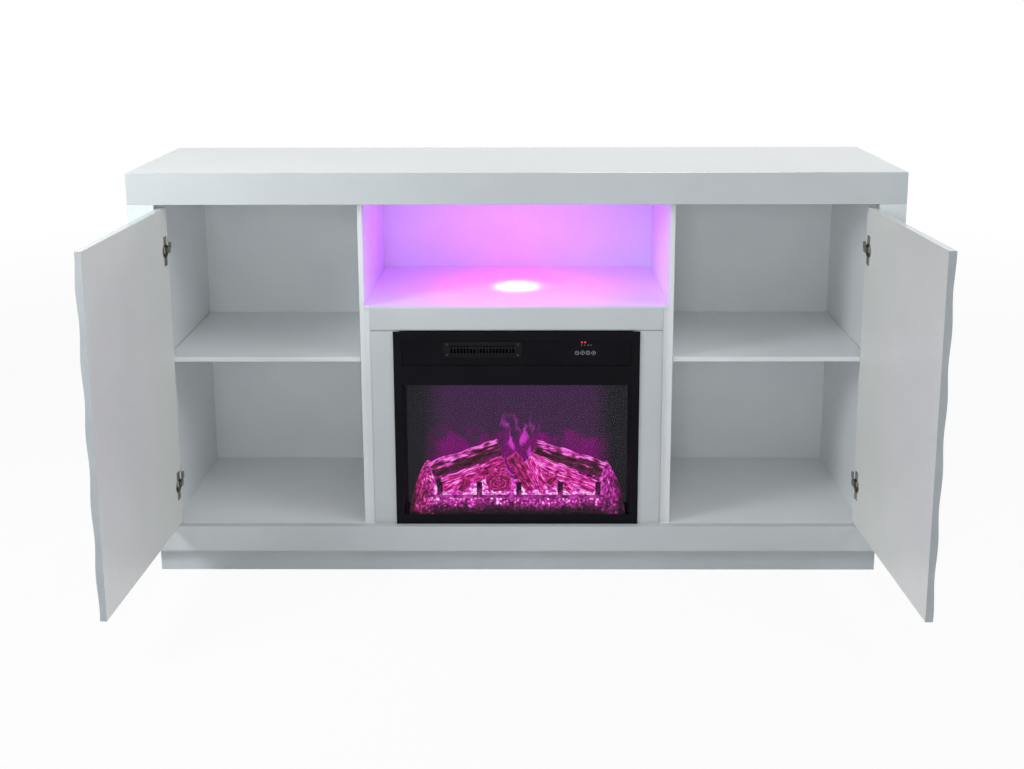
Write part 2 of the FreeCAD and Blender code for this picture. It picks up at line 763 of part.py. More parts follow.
motor_bore = rod("shaft_radius + play", "X", *bore_ends, wheel_y, wheel_z)
keep(cut(motor, [motor_bore]), "blower_motor")
element_xs = (f"{duct_left} + gauge + element_margin", f"{duct_right} - gauge - element_margin")
element_front = f"({plate_back} + element_setback)"
element_ys = (element_front, f"{element_front} + element_depth")
element = box(element_xs, element_ys, (tray_top, f"{tray_top} + element_height"))
gap_zs = (f"{tray_top} + element_frame", f"{tray_top} + element_height - element_frame")
gap_ys = (f"{element_ys[0]} - overrun", f"{element_ys[1]} + overrun")
gap_count = int(size("element_bars")) + 1
inside = f"({element_xs[1]} - ({element_xs[0]}) - 2 * element_frame - element_bars * element_bar)"
gaps = []
for index in range(gap_count):
    start = f"{element_xs[0]} + element_frame + {index} * ({inside} / {gap_count} + element_bar)"
    gaps.append(box((start, f"{start} + {inside} / {gap_count}"), gap_ys, gap_zs))
keep(cut(element, gaps), "heating_element")


def blower_wheel():
    """The tangential wheel: two end discs, a ring of blades between them and the shaft."""
    shaft_box = doc.getObjectsByLabel("blower_motor")[0].Shape.BoundBox
    centre = FreeCAD.Vector(0, shaft_box.Center.y, shaft_box.Center.z)
    left = size("grille_offset") - size("grille_width") / 2 - size("duct_margin")
    first = left + size("gauge") + size("wheel_end_gap")
    last = shaft_box.XMin - size("gauge") - size("wheel_end_gap")
    along = FreeCAD.Vector(1, 0, 0)

    def at(x):
        return FreeCAD.Vector(x, centre.y, centre.z)

    start = left - size("bush_length")
    end = shaft_box.XMin + size("motor_length") / 2 - size("play")
    shapes = [Part.makeCylinder(size("shaft_radius"), end - start, at(start), along)]
    for x in (first, last - size("wheel_disc")):
        shapes.append(Part.makeCylinder(size("wheel_radius"), size("wheel_disc"), at(x), along))
    count = int(size("blade_count"))
    for index in range(count):
        rise = size("wheel_radius") - size("blade_width")
        corner = at(first) + FreeCAD.Vector(0, -size("blade_gauge") / 2, rise)
        depth = size("blade_width") - size("play")
        blade = Part.makeBox(last - first, size("blade_gauge"), depth, corner)
        blade.rotate(centre, along, 360 * index / count)
        shapes.append(blade)
    return shapes[0].multiFuse(shapes[1:])


# Fire bed, grate and logs
bed_front = f"({glass_back} + bed_gap)"
bed_rear = f"({bed_front} + bed_depth)"
extrusion(
    "ember_bed",
    [
        (bed_front, hearth),
        (bed_rear, hearth),
        (bed_rear, f"{hearth} + bed_back"),
        (f"{bed_front} + bed_step", f"{hearth} + bed_back"),
        (f"{bed_front} + bed_ledge_end", f"{hearth} + bed_ledge"),
        (f"{bed_front} + bed_slope", f"{hearth} + bed_ledge"),
        (bed_front, f"{hearth} + bed_lip"),
    ],
    "bed_half",
)
grate_front = f"({bed_front} + grate_setback)"
grate_ys = (grate_front, f"{grate_front} + grate_bar")
ledge = f"({hearth} + bed_ledge)"
grate = [box(both("grate_half"), grate_ys, (ledge, f"{ledge} + grate_bar"))]
grate_post_shares = (-0.84, -0.41, 0.02, 0.47, 0.88)
for share in grate_post_shares:
    post_xs = about(f"(grate_half * ({share}))", "grate_post_width")
    grate.append(box(post_xs, grate_ys, (ledge, f"{ledge} + grate_post_height")))
keep(fuse(grate), "log_grate")


def log(side, reach, seat, setback, lean, length, radius, tip):
    """A tapered log that rests its thick end on a seat and leans in towards the middle."""
    item = doc.addObject("Part::Cone", "log")
    item.Placement = FreeCAD.Placement(FreeCAD.Vector(), FreeCAD.Rotation(FreeCAD.Vector(0, -side, 0), 1))
    tie(item, Radius1=radius, Radius2=tip, Height=length, Placement__Rotation__Angle=f"90 - {lean}")
    return tie(
        item,
        Placement__Base__x=f"{side} * {reach}",
        Placement__Base__y=f"{bed_front} + {setback}",
        Placement__Base__z=f"{hearth} + {seat} + {radius} * cos({lean}) + play",
    )


logs = []
for side, hand in hands:
    logs.append(log(side, "log_reach", "bed_back", "log_setback", "log_lean_angle",
                    "log_length", "log_radius", "log_tip_radius"))
    logs.append(log(side, "front_log_reach", "bed_ledge", "front_log_setback", "front_log_lean_angle",
                    "front_log_length", "front_log_radius", "front_log_tip_radius"))
keep(group(logs), "log_set")

# Flame screen, light board and the turning flame spindle behind it
screen_front = f"({bed_rear} + screen_gap)"
screen_back = f"({screen_front} + screen_thickness)"
plain("flame_screen", both(casing_in), (screen_front, screen_back), (hearth, tray_under))
light_front = f"({screen_back} + strip_gap)"
light_back = f"({light_front} + board_thickness)"
strip = [box(both("strip_half"), (light_front, light_back), (hearth, f"{hearth} + strip_height"))]
for index in range(int(size("diode_count"))):
    x = f"(strip_half * (2 * {index} + 1 - diode_count) / diode_count)"
    diode_zs = about(f"({hearth} + strip_height / 2)", "diode_size")
    strip.append(box(about(x, "diode_size"), (light_back, f"{light_back} + diode_height"), diode_zs))
keep(fuse(strip), "light_board")
rotor_y = f"({screen_back} + rotor_gap)"
rotor_z = f"({hearth} + rotor_rise)"
motor_face = f"({casing_in} - rotor_motor_length)"
bore_end = f"({motor_face} + rotor_motor_length / 2)"
rotor_motor = rod("rotor_motor_radius", "X", motor_face, casing_in, rotor_y, rotor_z)
rotor_bore = rod("rotor_shaft_radius + play", "X", f"{motor_face} - overrun", bore_end, rotor_y, rotor_z)
keep(cut(rotor_motor, [rotor_bore]), "rotor_motor")
shaft_start = f"(-{casing_in} + play)"
flags = [rod("rotor_shaft_radius", "X", shaft_start, f"{bore_end} - play", rotor_y, rotor_z)]
flag_start = f"(-{casing_in} + bush_length + rotor_end_gap)"
flag_room = f"({motor_face} - rotor_end_gap - {flag_start})"
for index in range(int(size("rotor_flags"))):
    centre = f"({flag_start} + {flag_room} * (2 * {index} + 1) / (2 * rotor_flags))"
    spans = [about(rotor_y, "2 * rotor_flag_radius"), about(rotor_z, "rotor_flag_gauge")]
    if index % 2:
        spans = [about(rotor_y, "rotor_flag_gauge"), about(rotor_z, "2 * rotor_flag_radius")]
    flags.append(box(about(centre, "rotor_flag_width"), *spans))
keep(fuse(flags), "flame_rotor")
bushes = []
for radius, start, y, z in (
    ("shaft_radius", f"({duct_left} - bush_length)", wheel_y, wheel_z),
    ("rotor_shaft_radius", f"(-{casing_in})", rotor_y, rotor_z),
):
    outer = rod("bush_radius", "X", start, f"{start} + bush_length", y, z)
    bore = rod(f"{radius} + play", "X", f"{start} - overrun", f"{start} + bush_length + overrun", y, z)
    bushes.append(cut(outer, [bore]))
keep(group(bushes), "shaft_bushes")

doc.recompute()
wheel = doc.addObject("Part::Feature", "blower_wheel")
wheel.Shape = blower_wheel()
keep(wheel, "blower_wheel")


def wave_section(x, inner, foot, head, crest):
    """The door's outline at one X: flat inside, waved outside, with a crest at a height."""
    count = int(8 * (head - foot) / size("wave_pitch"))
    points = []
    for index in range(count + 1):
        z = foot + (head - foot) * index / count
        lift = (1 + math.cos(2 * math.pi * (z - crest) / size("wave_pitch"))) / 2
        points.append(FreeCAD.Vector(x, inner - size("door_thickness") - size("wave_height") * lift, z))
    curve = Part.BSplineCurve()
    curve.interpolate(points)
    top = FreeCAD.Vector(x, inner, head)
    bottom = FreeCAD.Vector(x, inner, foot)
    lines = [(points[-1], top), (top, bottom), (bottom, points[0])]
    return Part.Wire([curve.toShape(), *[Part.LineSegment(a, b).toShape() for a, b in lines]])


def door_panel(start):
    """The right-hand door, shut: a waved slab bored for its hinge cups and their screws."""
    divider_box = doc.getObjectsByLabel("right_divider")[0].Shape.BoundBox
    wall_box = doc.getObjectsByLabel("right_inner_side")[0].Shape.BoundBox
    fascia_box = doc.getObjectsByLabel("top_fascia")[0].Shape.BoundBox
    free = divider_box.XMax - size("door_lap")
    edge = wall_box.XMin - size("door_side_gap")
    inner = divider_box.YMin - size("door_back_gap")
    foot = divider_box.ZMin + size("door_foot_gap")
    head = fascia_box.ZMin - size("door_head_gap")
    sections = []
    station_shares = (0, 0.25, 0.5, 0.75, 1)
    for share in station_shares:
        crest = head - start - size("wave_slant") * share
        sections.append(wave_section(free + (edge - free) * share, inner, foot, head, crest))
    door = Part.makeLoft(sections, True, False)
    crest_y = inner - size("door_thickness") - size("wave_height")
    over = size("overrun")
    bevel = size("door_chamfer") + over
    corners = [(edge - bevel, crest_y - over), (edge + over, crest_y + bevel), (edge + over, crest_y - over)]
    outline = Part.makePolygon([FreeCAD.Vector(x, y, foot - over) for x, y in [*corners, corners[0]]])
    wedge = Part.Face(outline).extrude(FreeCAD.Vector(0, 0, head - foot + 2 * over))
    tools = [wedge]
    x = edge - size("cup_edge") - size("cup_radius")
    into = FreeCAD.Vector(0, -1, 0)
    for level in (foot + size("hinge_inset"), head - size("hinge_inset")):
        mouth = FreeCAD.Vector(x, inner + over, level)
        radius = size("cup_radius") + size("cup_fit")
        tools.append(Part.makeCylinder(radius, size("cup_depth") + size("cup_fit") + over, mouth, into))
        for sign in (-1, 1):
            place = mouth + FreeCAD.Vector(0, 0, sign * size("cup_screw_spread"))
            depth = size("screw_grip") - size("flange_thickness") + size("play") + over
            tools.append(Part.makeCylinder(size("screw_radius") + size("play"), depth, place, into))
    return door.cut(tools)


for side, hand in hands:
    door = doc.addObject("Part::Feature", f"{hand}_door_panel")
    shape = door_panel(size(f"{hand}_wave_start"))
    door.Shape = shape if side > 0 else shape.mirror(FreeCAD.Vector(), FreeCAD.Vector(1, 0, 0))
    keep(turn_open(door, side), f"{hand}_door_panel")
doc.recompute()

failed = [item.Label for item in doc.Objects if "Invalid" in item.State or "Error" in item.State]
for item in nodes:
    if item.Shape.isNull() or not item.Shape.isValid() or not item.Shape.Solids:
        failed.append(item.Label)
if failed:
    raise RuntimeError(f"shapes that did not build: {failed}")

os.makedirs("parts", exist_ok=True)
for item in nodes:
    item.Shape.exportStep(f"parts/{item.Label}.step")
print(f"{len(nodes)} sub-parts written")
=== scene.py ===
import math

import bpy
from mathutils import Matrix, Vector, noise


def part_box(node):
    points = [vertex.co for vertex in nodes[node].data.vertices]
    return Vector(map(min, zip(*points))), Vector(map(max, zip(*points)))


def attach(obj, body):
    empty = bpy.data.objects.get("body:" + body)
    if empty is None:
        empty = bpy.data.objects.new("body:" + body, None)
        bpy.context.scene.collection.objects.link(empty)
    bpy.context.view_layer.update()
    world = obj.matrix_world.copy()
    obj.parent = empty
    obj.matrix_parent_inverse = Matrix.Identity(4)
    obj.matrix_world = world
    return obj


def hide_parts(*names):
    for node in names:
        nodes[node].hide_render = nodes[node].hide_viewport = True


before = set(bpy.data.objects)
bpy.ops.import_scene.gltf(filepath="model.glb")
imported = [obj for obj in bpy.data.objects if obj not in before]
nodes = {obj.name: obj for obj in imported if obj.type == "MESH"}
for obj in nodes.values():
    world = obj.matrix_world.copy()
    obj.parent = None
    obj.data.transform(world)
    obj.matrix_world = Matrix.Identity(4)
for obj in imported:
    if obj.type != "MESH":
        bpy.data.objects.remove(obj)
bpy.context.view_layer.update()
mm = 0.001
print("frame loaded with", len(nodes), "nodes")


def linearColour(code):   # sRGB hex to the linear values that nodes take
    parts = [int(code[i:i + 2], 16) / 255 for i in (0, 2, 4)]
    return tuple(p / 12.92 if p <= 0.04045 else ((p + 0.055) / 1.055) ** 2.4 for p in parts) + (1.0,)


def addNode(tree, kind, inputs=None, **settings):   # one node, with its settings, values and links
    node = tree.nodes.new(kind)
    for name, value in settings.items():
        setattr(node, name, value)
    for name, value in (inputs or {}).items():
        if isinstance(value, bpy.types.NodeSocket):
            tree.links.new(value, node.inputs[name])
        else:
            node.inputs[name].default_value = value
    return node


def newMaterial(name):
    material = bpy.data.materials.new(name)
    material.use_nodes = True
    tree = material.node_tree
    tree.nodes.clear()
    return material, tree


noiseRange = {"From Min": 0.3, "From Max": 0.7}   # where most of a noise's values lie


def makeFinish(name, look):   # a plain finish: mottled colour, uneven gloss, and a fine relief
    material, tree = newMaterial(name)
    place = addNode(tree, "ShaderNodeTexCoord").outputs["Object"]
    stretch = addNode(tree, "ShaderNodeMapping", {"Vector": place, "Scale": look.get("stretch", (1, 1, 1))})
    cloud = addNode(tree, "ShaderNodeTexNoise", {
        "Vector": stretch.outputs[0], "Scale": 1 / (look["cloudMm"] * mm), "Detail": 3.0})
    spread = addNode(tree, "ShaderNodeMapRange", {"Value": cloud.outputs["Fac"], **noiseRange})
    grain = addNode(tree, "ShaderNodeTexNoise", {
        "Vector": stretch.outputs[0], "Scale": 1 / (look["grainMm"] * mm), "Detail": 2.0})
    rough = addNode(tree, "ShaderNodeMapRange", {
        "Value": grain.outputs["Fac"], **noiseRange,
        "To Min": look["rough"][0], "To Max": look["rough"][1]})
    relief = addNode(tree, "ShaderNodeBump", {
        "Height": grain.outputs["Fac"], "Distance": look["reliefMm"] * mm, "Strength": look["relief"]})
    tone = addNode(tree, "ShaderNodeMix", {
        0: spread.outputs[0], 6: linearColour(look["dark"]), 7: linearColour(look["light"])},
        data_type="RGBA")
    shader = addNode(tree, "ShaderNodeBsdfPrincipled", {
        "Base Color": tone.outputs[2], "Roughness": rough.outputs[0], "Normal": relief.outputs[0],
        **look.get("shader", {})})
    addNode(tree, "ShaderNodeOutputMaterial", {"Surface": shader.outputs[0]})
    return material


# finishes
finishes = {
    # MDF sprayed and polished: near-mirror gloss, with faint orange peel that wavers the reflections
    "glossLacquer": makeFinish("sprayed_gloss_lacquer", {
        "dark": "e4e8e8", "light": "ebefee", "cloudMm": 260, "grainMm": 3.5, "rough": (0.10, 0.16),
        "reliefMm": 0.02, "relief": 0.25}),
    # the same lacquer on the fascia, surround and apron: polished less, and its colour painted a little
    # greyer as painted shade for these front faces
    "frontLacquer": makeFinish("sprayed_lacquer_front_painted_shade", {
        "dark": "cbcfd0", "light": "d2d6d6", "cloudMm": 260, "grainMm": 3.5, "rough": (0.16, 0.24),
        "reliefMm": 0.02, "relief": 0.25, "shader": {"Specular IOR Level": 0.35}}),
    # chipboard faced with satin melamine: a soft sheen and a pressed, slightly pebbled face
    "satinMelamine": makeFinish("pressed_satin_melamine", {
        "dark": "e8ebec", "light": "eff1f1", "cloudMm": 220, "grainMm": 1.6, "rough": (0.30, 0.42),
        "reliefMm": 0.03, "relief": 0.25}),
    # the doors' inner faces: the same melamine in a slightly warmer white
    "doorMelamine": makeFinish("pressed_warm_melamine", {
        "dark": "ecece6", "light": "f3f3ec", "cloudMm": 220, "grainMm": 1.6, "rough": (0.30, 0.42),
        "reliefMm": 0.03, "relief": 0.25}),
    # the doors' edge band: ABS strip with a satin sheen; its grey, darker than the lacquer, is painted
    # shade on the free edge
    "edgeBandPaintedShade": makeFinish("satin_edge_band_painted_shade", {
        "dark": "b4b8ba", "light": "bec2c3", "cloudMm": 60, "grainMm": 1.2, "rough": (0.35, 0.48),
        "reliefMm": 0.03, "relief": 0.25, "shader": {"Specular IOR Level": 0.3}}),
    # the plinth's melamine: duller, and painted a shade greyer as painted shade for the recessed plinth
    "plinthMelaminePaintedShade": makeFinish("pressed_melamine_painted_shade", {
        "dark": "c2c6c8", "light": "cbcfd0", "cloudMm": 180, "grainMm": 1.6, "rough": (0.40, 0.52),
        "reliefMm": 0.03, "relief": 0.25}),
    # thin hardboard, painted: matt, with the felted fibre of the board showing through
    "paintedHardboard": makeFinish("painted_hardboard", {
        "dark": "e4e8e9", "light": "ebeeee", "cloudMm": 120, "grainMm": 1.1, "rough": (0.45, 0.60),
        "reliefMm": 0.05, "relief": 0.3}),
    # steel plated with dull nickel: warm grey metal, fine drawn scratches
    "dullNickel": makeFinish("dull_nickel_plate", {
        "dark": "828178", "light": "aaa89f", "cloudMm": 9, "grainMm": 0.7, "rough": (0.28, 0.42),
        "reliefMm": 0.02, "relief": 0.3, "stretch": (1, 1, 0.25), "shader": {"Metallic": 1.0}}),
    # sheet steel, powder coated black: low sheen and a fine grain
    "powderCoat": makeFinish("black_powder_coat", {
        "dark": "07070c", "light": "0d0d14", "cloudMm": 70, "grainMm": 0.9, "rough": (0.34, 0.46),
        "reliefMm": 0.04, "relief": 0.35, "shader": {"Specular IOR Level": 0.08}}),
    # the heater's louvres: pressed steel in the black coat, painted a little greyer than the bezel as
    # painted light for the glare on the slats; it catches the light on its edges
    "louvreCoatPaintedLight": makeFinish("black_louvre_coat_painted_light", {
        "dark": "0a0a0f", "light": "111117", "cloudMm": 30, "grainMm": 0.9, "rough": (0.30, 0.42),
        "reliefMm": 0.03, "relief": 0.3, "shader": {"Specular IOR Level": 0.12}}),
    # steel screws blackened in oil: dull black metal, brighter where the driver has rubbed
    "blackenedSteel": makeFinish("oil_blackened_steel", {
        "dark": "1d1c1f", "light": "4a494d", "cloudMm": 1.6, "grainMm": 0.5, "rough": (0.35, 0.5),
        "reliefMm": 0.02, "relief": 0.3, "shader": {"Metallic": 1.0}}),
    # ABS moulded black with a polished face: deep gloss, slight flow marks
    "blackAbs": makeFinish("moulded_black_abs", {
        "dark": "07070d", "light": "0c0c14", "cloudMm": 55, "grainMm": 2.2, "rough": (0.16, 0.24),
        "reliefMm": 0.015, "relief": 0.25, "shader": {"Specular IOR Level": 0.08}}),
    # aluminised sheet round the heater, painted dark as painted shade for the inside of the heater seen
    # through the louvres: dark grey metal with brown clouds
    "heaterSheetPaintedShade": makeFinish("heater_sheet_painted_shade", {
        "dark": "26231f", "light": "3c3a38", "cloudMm": 18, "grainMm": 2.0, "rough": (0.45, 0.6),
        "reliefMm": 0.03, "relief": 0.3, "shader": {"Metallic": 1.0}}),
    # screen-printed ink on the keys and panel: flat pale grey, a little porous
    "paleInk": makeFinish("screen_printed_ink", {
        "dark": "8e9096", "light": "b4b6ba", "cloudMm": 3, "grainMm": 0.4, "rough": (0.5, 0.65),
        "reliefMm": 0.01, "relief": 0.3}),
    # motor cans of rolled steel: smooth, a little brighter than the zinc
    "rolledSteel": makeFinish("rolled_motor_steel", {
        "dark": "9a9b9c", "light": "c0c1c2", "cloudMm": 20, "grainMm": 1.0, "rough": (0.25, 0.35),
        "reliefMm": 0.02, "relief": 0.2, "stretch": (0.2, 1, 1), "shader": {"Metallic": 1.0}}),
    # polished film glued on card: creased mirror flags that throw the flicker
    "mirrorFilm": makeFinish("creased_mirror_film", {
        "dark": "b9bcc4", "light": "dcdde2", "cloudMm": 12, "grainMm": 4.0, "rough": (0.06, 0.14),
        "reliefMm": 0.15, "relief": 0.5, "shader": {"Metallic": 1.0}}),
    # glass-fibre board with green resist: semi-gloss, weave just showing
    "greenResist": makeFinish("green_solder_resist", {
        "dark": "0d3b22", "light": "15502f", "cloudMm": 8, "grainMm": 0.8, "rough": (0.22, 0.34),
        "reliefMm": 0.03, "relief": 0.3}),
    # polycarbonate driver box: moulded white with a spark-eroded matt
    "driverCase": makeFinish("moulded_polycarbonate", {
        "dark": "cfd0cd", "light": "dcddda", "cloudMm": 40, "grainMm": 0.8, "rough": (0.42, 0.55),
        "reliefMm": 0.03, "relief": 0.3}),
    # die-cast ring, brushed round: bright satin metal
    "castRing": makeFinish("brushed_cast_ring", {
        "dark": "b7b9bb", "light": "d6d8d9", "cloudMm": 6, "grainMm": 0.6, "rough": (0.22, 0.34),
        "reliefMm": 0.02, "relief": 0.3, "shader": {"Metallic": 1.0}}),
    # acrylic lens over the diodes: frosted, lit from behind
    "frostedAcrylic": makeFinish("frosted_acrylic_lens", {
        "dark": "f3dcf8", "light": "fbeefd", "cloudMm": 8, "grainMm": 1.0, "rough": (0.3, 0.45),
        "reliefMm": 0.03, "relief": 0.3,
        "shader": {"Emission Color": linearColour("f6c8ff"), "Emission Strength": 1.0}}),
    # red acrylic light pipes with a diode behind each
    "redLightPipe": makeFinish("red_light_pipe", {
        "dark": "b0101c", "light": "e0202c", "cloudMm": 2, "grainMm": 0.5, "rough": (0.15, 0.25),
        "reliefMm": 0.01, "relief": 0.2,
        "shader": {"Emission Color": linearColour("ff3038"), "Emission Strength": 1.0}}),
}

slotFinish = {   # of the CAD nodes that are shown as they are
    "plinth": "plinthMelaminePaintedShade", "nickel": "dullNickel", "spot_metal": "castRing",
    "spot_lens": "frostedAcrylic", "driver_case": "driverCase", "black_steel": "powderCoat",
    "galvanised": "heaterSheetPaintedShade", "black_plastic": "blackAbs", "red_lamp": "redLightPipe",
    "motor_steel": "rolledSteel", "flag_foil": "mirrorFilm", "circuit_board": "greenResist"}


def makeWindowGlass():   # toughened soda glass, slightly smoked: clear, with faint smears
    look = {"smearMm": 60, "smear": (0.4, 0.7), "rough": (0.03, 0.07), "dark": "121216", "light": "1a1a20"}
    material, tree = newMaterial("smoked_window_glass")
    place = addNode(tree, "ShaderNodeTexCoord").outputs["Object"]
    smear = addNode(tree, "ShaderNodeTexNoise", {
        "Vector": place, "Scale": 1 / (look["smearMm"] * mm), "Detail": 2.0})
    rough = addNode(tree, "ShaderNodeMapRange", {
        "Value": smear.outputs["Fac"], "From Min": look["smear"][0], "From Max": look["smear"][1],
        "To Min": look["rough"][0], "To Max": look["rough"][1]})
    tint = addNode(tree, "ShaderNodeMix", {
        0: smear.outputs["Fac"], 6: linearColour(look["dark"]), 7: linearColour(look["light"])},
        data_type="RGBA")
    shader = addNode(tree, "ShaderNodeBsdfPrincipled", {
        "Base Color": tint.outputs[2], "Roughness": rough.outputs[0],
        "Alpha": 0.1, "Specular IOR Level": 0.25})
    addNode(tree, "ShaderNodeOutputMaterial", {"Surface": shader.outputs[0]})
    return material


def makeFlameScreen():   # smoked acrylic lit from behind: a violet haze, and flames above the logs
    look = {   # places in mm
        "edge": 190, "fade": 55, "low": (254, 208), "flameFoot": (292, 225), "flameWidth": (62, 12),
        "swayMm": 30, "drift": 30, "bend": 30, "flameMm": 15, "flameStretch": 0.36, "flame": (0.50, 0.65),
        "darkColour": "232329", "hazeColour": "43264a", "lowColour": "7a156e", "flameColour": "de3ed2"}
    material, tree = newMaterial("smoked_acrylic_screen")
    place = addNode(tree, "ShaderNodeTexCoord").outputs["Object"]
    axes = addNode(tree, "ShaderNodeSeparateXYZ", {0: place})
    side = addNode(tree, "ShaderNodeMath", {0: axes.outputs["X"]}, operation="ABSOLUTE")
    inside = addNode(tree, "ShaderNodeMapRange", {
        "Value": side.outputs[0],
        "From Min": look["edge"] * mm, "From Max": (look["edge"] - look["fade"]) * mm},
        interpolation_type="SMOOTHSTEP")
    sway = addNode(tree, "ShaderNodeTexNoise", {
        "Vector": place, "Scale": 1 / (look["swayMm"] * mm), "Detail": 2.0})
    drift = addNode(tree, "ShaderNodeMapRange", {
        "Value": sway.outputs["Fac"], **noiseRange,
        "To Min": -look["drift"] * mm, "To Max": look["drift"] * mm})
    height = addNode(tree, "ShaderNodeMath", {0: axes.outputs["Z"], 1: drift.outputs[0]}, operation="ADD")
    low = addNode(tree, "ShaderNodeMapRange", {
        "Value": height.outputs[0], "From Min": look["low"][0] * mm, "From Max": look["low"][1] * mm},
        interpolation_type="SMOOTHSTEP")
    bent = addNode(tree, "ShaderNodeVectorMath", {
        0: sway.outputs["Color"], 1: (look["bend"] * mm, 0.0, 0.0)}, operation="MULTIPLY")
    moved = addNode(tree, "ShaderNodeVectorMath", {0: place, 1: bent.outputs[0]}, operation="ADD")
    tall = addNode(tree, "ShaderNodeMapping", {
        "Vector": moved.outputs[0], "Scale": (1.0, 1.0, look["flameStretch"])})
    tongues = addNode(tree, "ShaderNodeTexNoise", {
        "Vector": tall.outputs[0], "Scale": 1 / (look["flameMm"] * mm), "Detail": 3.0})
    lick = addNode(tree, "ShaderNodeMapRange", {
        "Value": tongues.outputs["Fac"], "From Min": look["flame"][0], "From Max": look["flame"][1]},
        interpolation_type="SMOOTHSTEP")
    middle = addNode(tree, "ShaderNodeMapRange", {
        "Value": side.outputs[0],
        "From Min": look["flameWidth"][0] * mm, "From Max": look["flameWidth"][1] * mm},
        interpolation_type="SMOOTHSTEP")
    foot = addNode(tree, "ShaderNodeMapRange", {
        "Value": axes.outputs["Z"],
        "From Min": look["flameFoot"][0] * mm, "From Max": look["flameFoot"][1] * mm},
        interpolation_type="SMOOTHSTEP")
    lit = addNode(tree, "ShaderNodeMath", {0: lick.outputs[0], 1: middle.outputs[0]}, operation="MULTIPLY")
    lit = addNode(tree, "ShaderNodeMath", {0: lit.outputs[0], 1: foot.outputs[0]}, operation="MULTIPLY")
    glow = addNode(tree, "ShaderNodeMix", {
        0: low.outputs[0], 6: linearColour(look["hazeColour"]), 7: linearColour(look["lowColour"])},
        data_type="RGBA")
    glow = addNode(tree, "ShaderNodeMix", {
        0: lit.outputs[0], 6: glow.outputs[2], 7: linearColour(look["flameColour"])}, data_type="RGBA")
    glow = addNode(tree, "ShaderNodeMix", {
        0: inside.outputs[0], 6: linearColour(look["darkColour"]), 7: glow.outputs[2]}, data_type="RGBA")
    shader = addNode(tree, "ShaderNodeBsdfPrincipled", {
        "Base Color": linearColour("08080a"), "Roughness": 0.5, "Specular IOR Level": 0.1,
        "Emission Color": glow.outputs[2], "Emission Strength": 1.0})
    addNode(tree, "ShaderNodeOutputMaterial", {"Surface": shader.outputs[0]})
    return material


fibreRange = (0.36, 0.64)   # the finer noise of the resin, spread a little harder


def makeGlowing(name, look):   # painted resin lit from inside: the glow is an attribute of the piece, and on the logs' tops and the grate's bar it also carries painted light
    material, tree = newMaterial(name)
    if look["along"] < 1:   # fibres that follow each log's own length
        place = addNode(tree, "ShaderNodeAttribute", attribute_name="grain").outputs["Vector"]
    else:
        place = addNode(tree, "ShaderNodeTexCoord").outputs["Object"]
    run = addNode(tree, "ShaderNodeMapping", {"Vector": place, "Scale": (1.0, 1.0, look["along"])})
    heat = addNode(tree, "ShaderNodeAttribute", attribute_name="glow").outputs["Fac"]
    fibre = addNode(tree, "ShaderNodeTexNoise", {
        "Vector": run.outputs[0], "Scale": 1 / (look["fibreMm"] * mm), "Detail": 4.0, "Roughness": 0.6})
    uneven = addNode(tree, "ShaderNodeMapRange", {
        "Value": fibre.outputs["Fac"], "From Min": fibreRange[0], "From Max": fibreRange[1],
        "To Min": look["gap"], "To Max": look["crest"]})
    hot = addNode(tree, "ShaderNodeMath", {0: heat, 1: uneven.outputs[0]}, operation="MULTIPLY")
    ramp = addNode(tree, "ShaderNodeValToRGB", {0: hot.outputs[0]})
    stops = ramp.color_ramp.elements
    for share, code in look["ramp"][2:]:
        stops.new(share)
    for stop, (share, code) in zip(stops, look["ramp"]):
        stop.position, stop.color = share, linearColour(code)
    colour = ramp.outputs["Color"]
    if "warmX" in look:   # redder at the left end
        across = addNode(tree, "ShaderNodeSeparateXYZ", {0: place}).outputs["X"]
        hue = addNode(tree, "ShaderNodeMapRange", {
            "Value": across, "From Min": look["warmX"][0] * mm, "From Max": look["warmX"][1] * mm,
            "To Min": 0.5, "To Max": look["warmHue"]})
        colour = addNode(tree, "ShaderNodeHueSaturation", {
            "Hue": hue.outputs[0], "Color": colour}).outputs["Color"]
    relief = addNode(tree, "ShaderNodeBump", {
        "Height": fibre.outputs["Fac"], "Distance": look["reliefMm"] * mm, "Strength": 0.7})
    body = addNode(tree, "ShaderNodeMix", {
        0: fibre.outputs["Fac"], 6: linearColour(look["dark"]), 7: linearColour(look["light"])},
        data_type="RGBA")
    shader = addNode(tree, "ShaderNodeBsdfPrincipled", {
        "Base Color": body.outputs[2], "Roughness": 0.8, "Specular IOR Level": 0.1,
        "Normal": relief.outputs[0], "Emission Color": colour, "Emission Strength": look["strength"]})
    addNode(tree, "ShaderNodeOutputMaterial", {"Surface": shader.outputs[0]})
    return material


glassFinish = makeWindowGlass()
screenFinish = makeFlameScreen()
# cast resin bark: dark scorched flanks, violet light caught on the plates along the top
barkFinish = makeGlowing("cast_resin_bark", {
    "fibreMm": 3.4, "along": 0.26, "gap": 0.35, "crest": 1.55, "reliefMm": 0.8,
    "dark": "140c0d", "light": "2a1a1c",
    "strength": 1.12, "ramp": [(0.0, "221018"), (0.18, "4a1f36"), (0.36, "6c2a50"), (0.56, "b8328c"),
                               (0.78, "fa4edc"), (1.0, "ff8cf4")]})
# cast resin split wood: torn fibres, lit red and pink through the thin face
splitFinish = makeGlowing("cast_resin_split_wood", {
    "fibreMm": 2.6, "along": 0.12, "gap": 0.30, "crest": 1.45, "reliefMm": 0.8,
    "dark": "1c0c0f", "light": "3a1a20",
    "strength": 1.12, "ramp": [(0.0, "2a0c18"), (0.22, "641640"), (0.42, "aa2268"), (0.64, "ec36b4"),
                               (0.86, "ff5ae0"), (1.0, "ffa8f6")]})
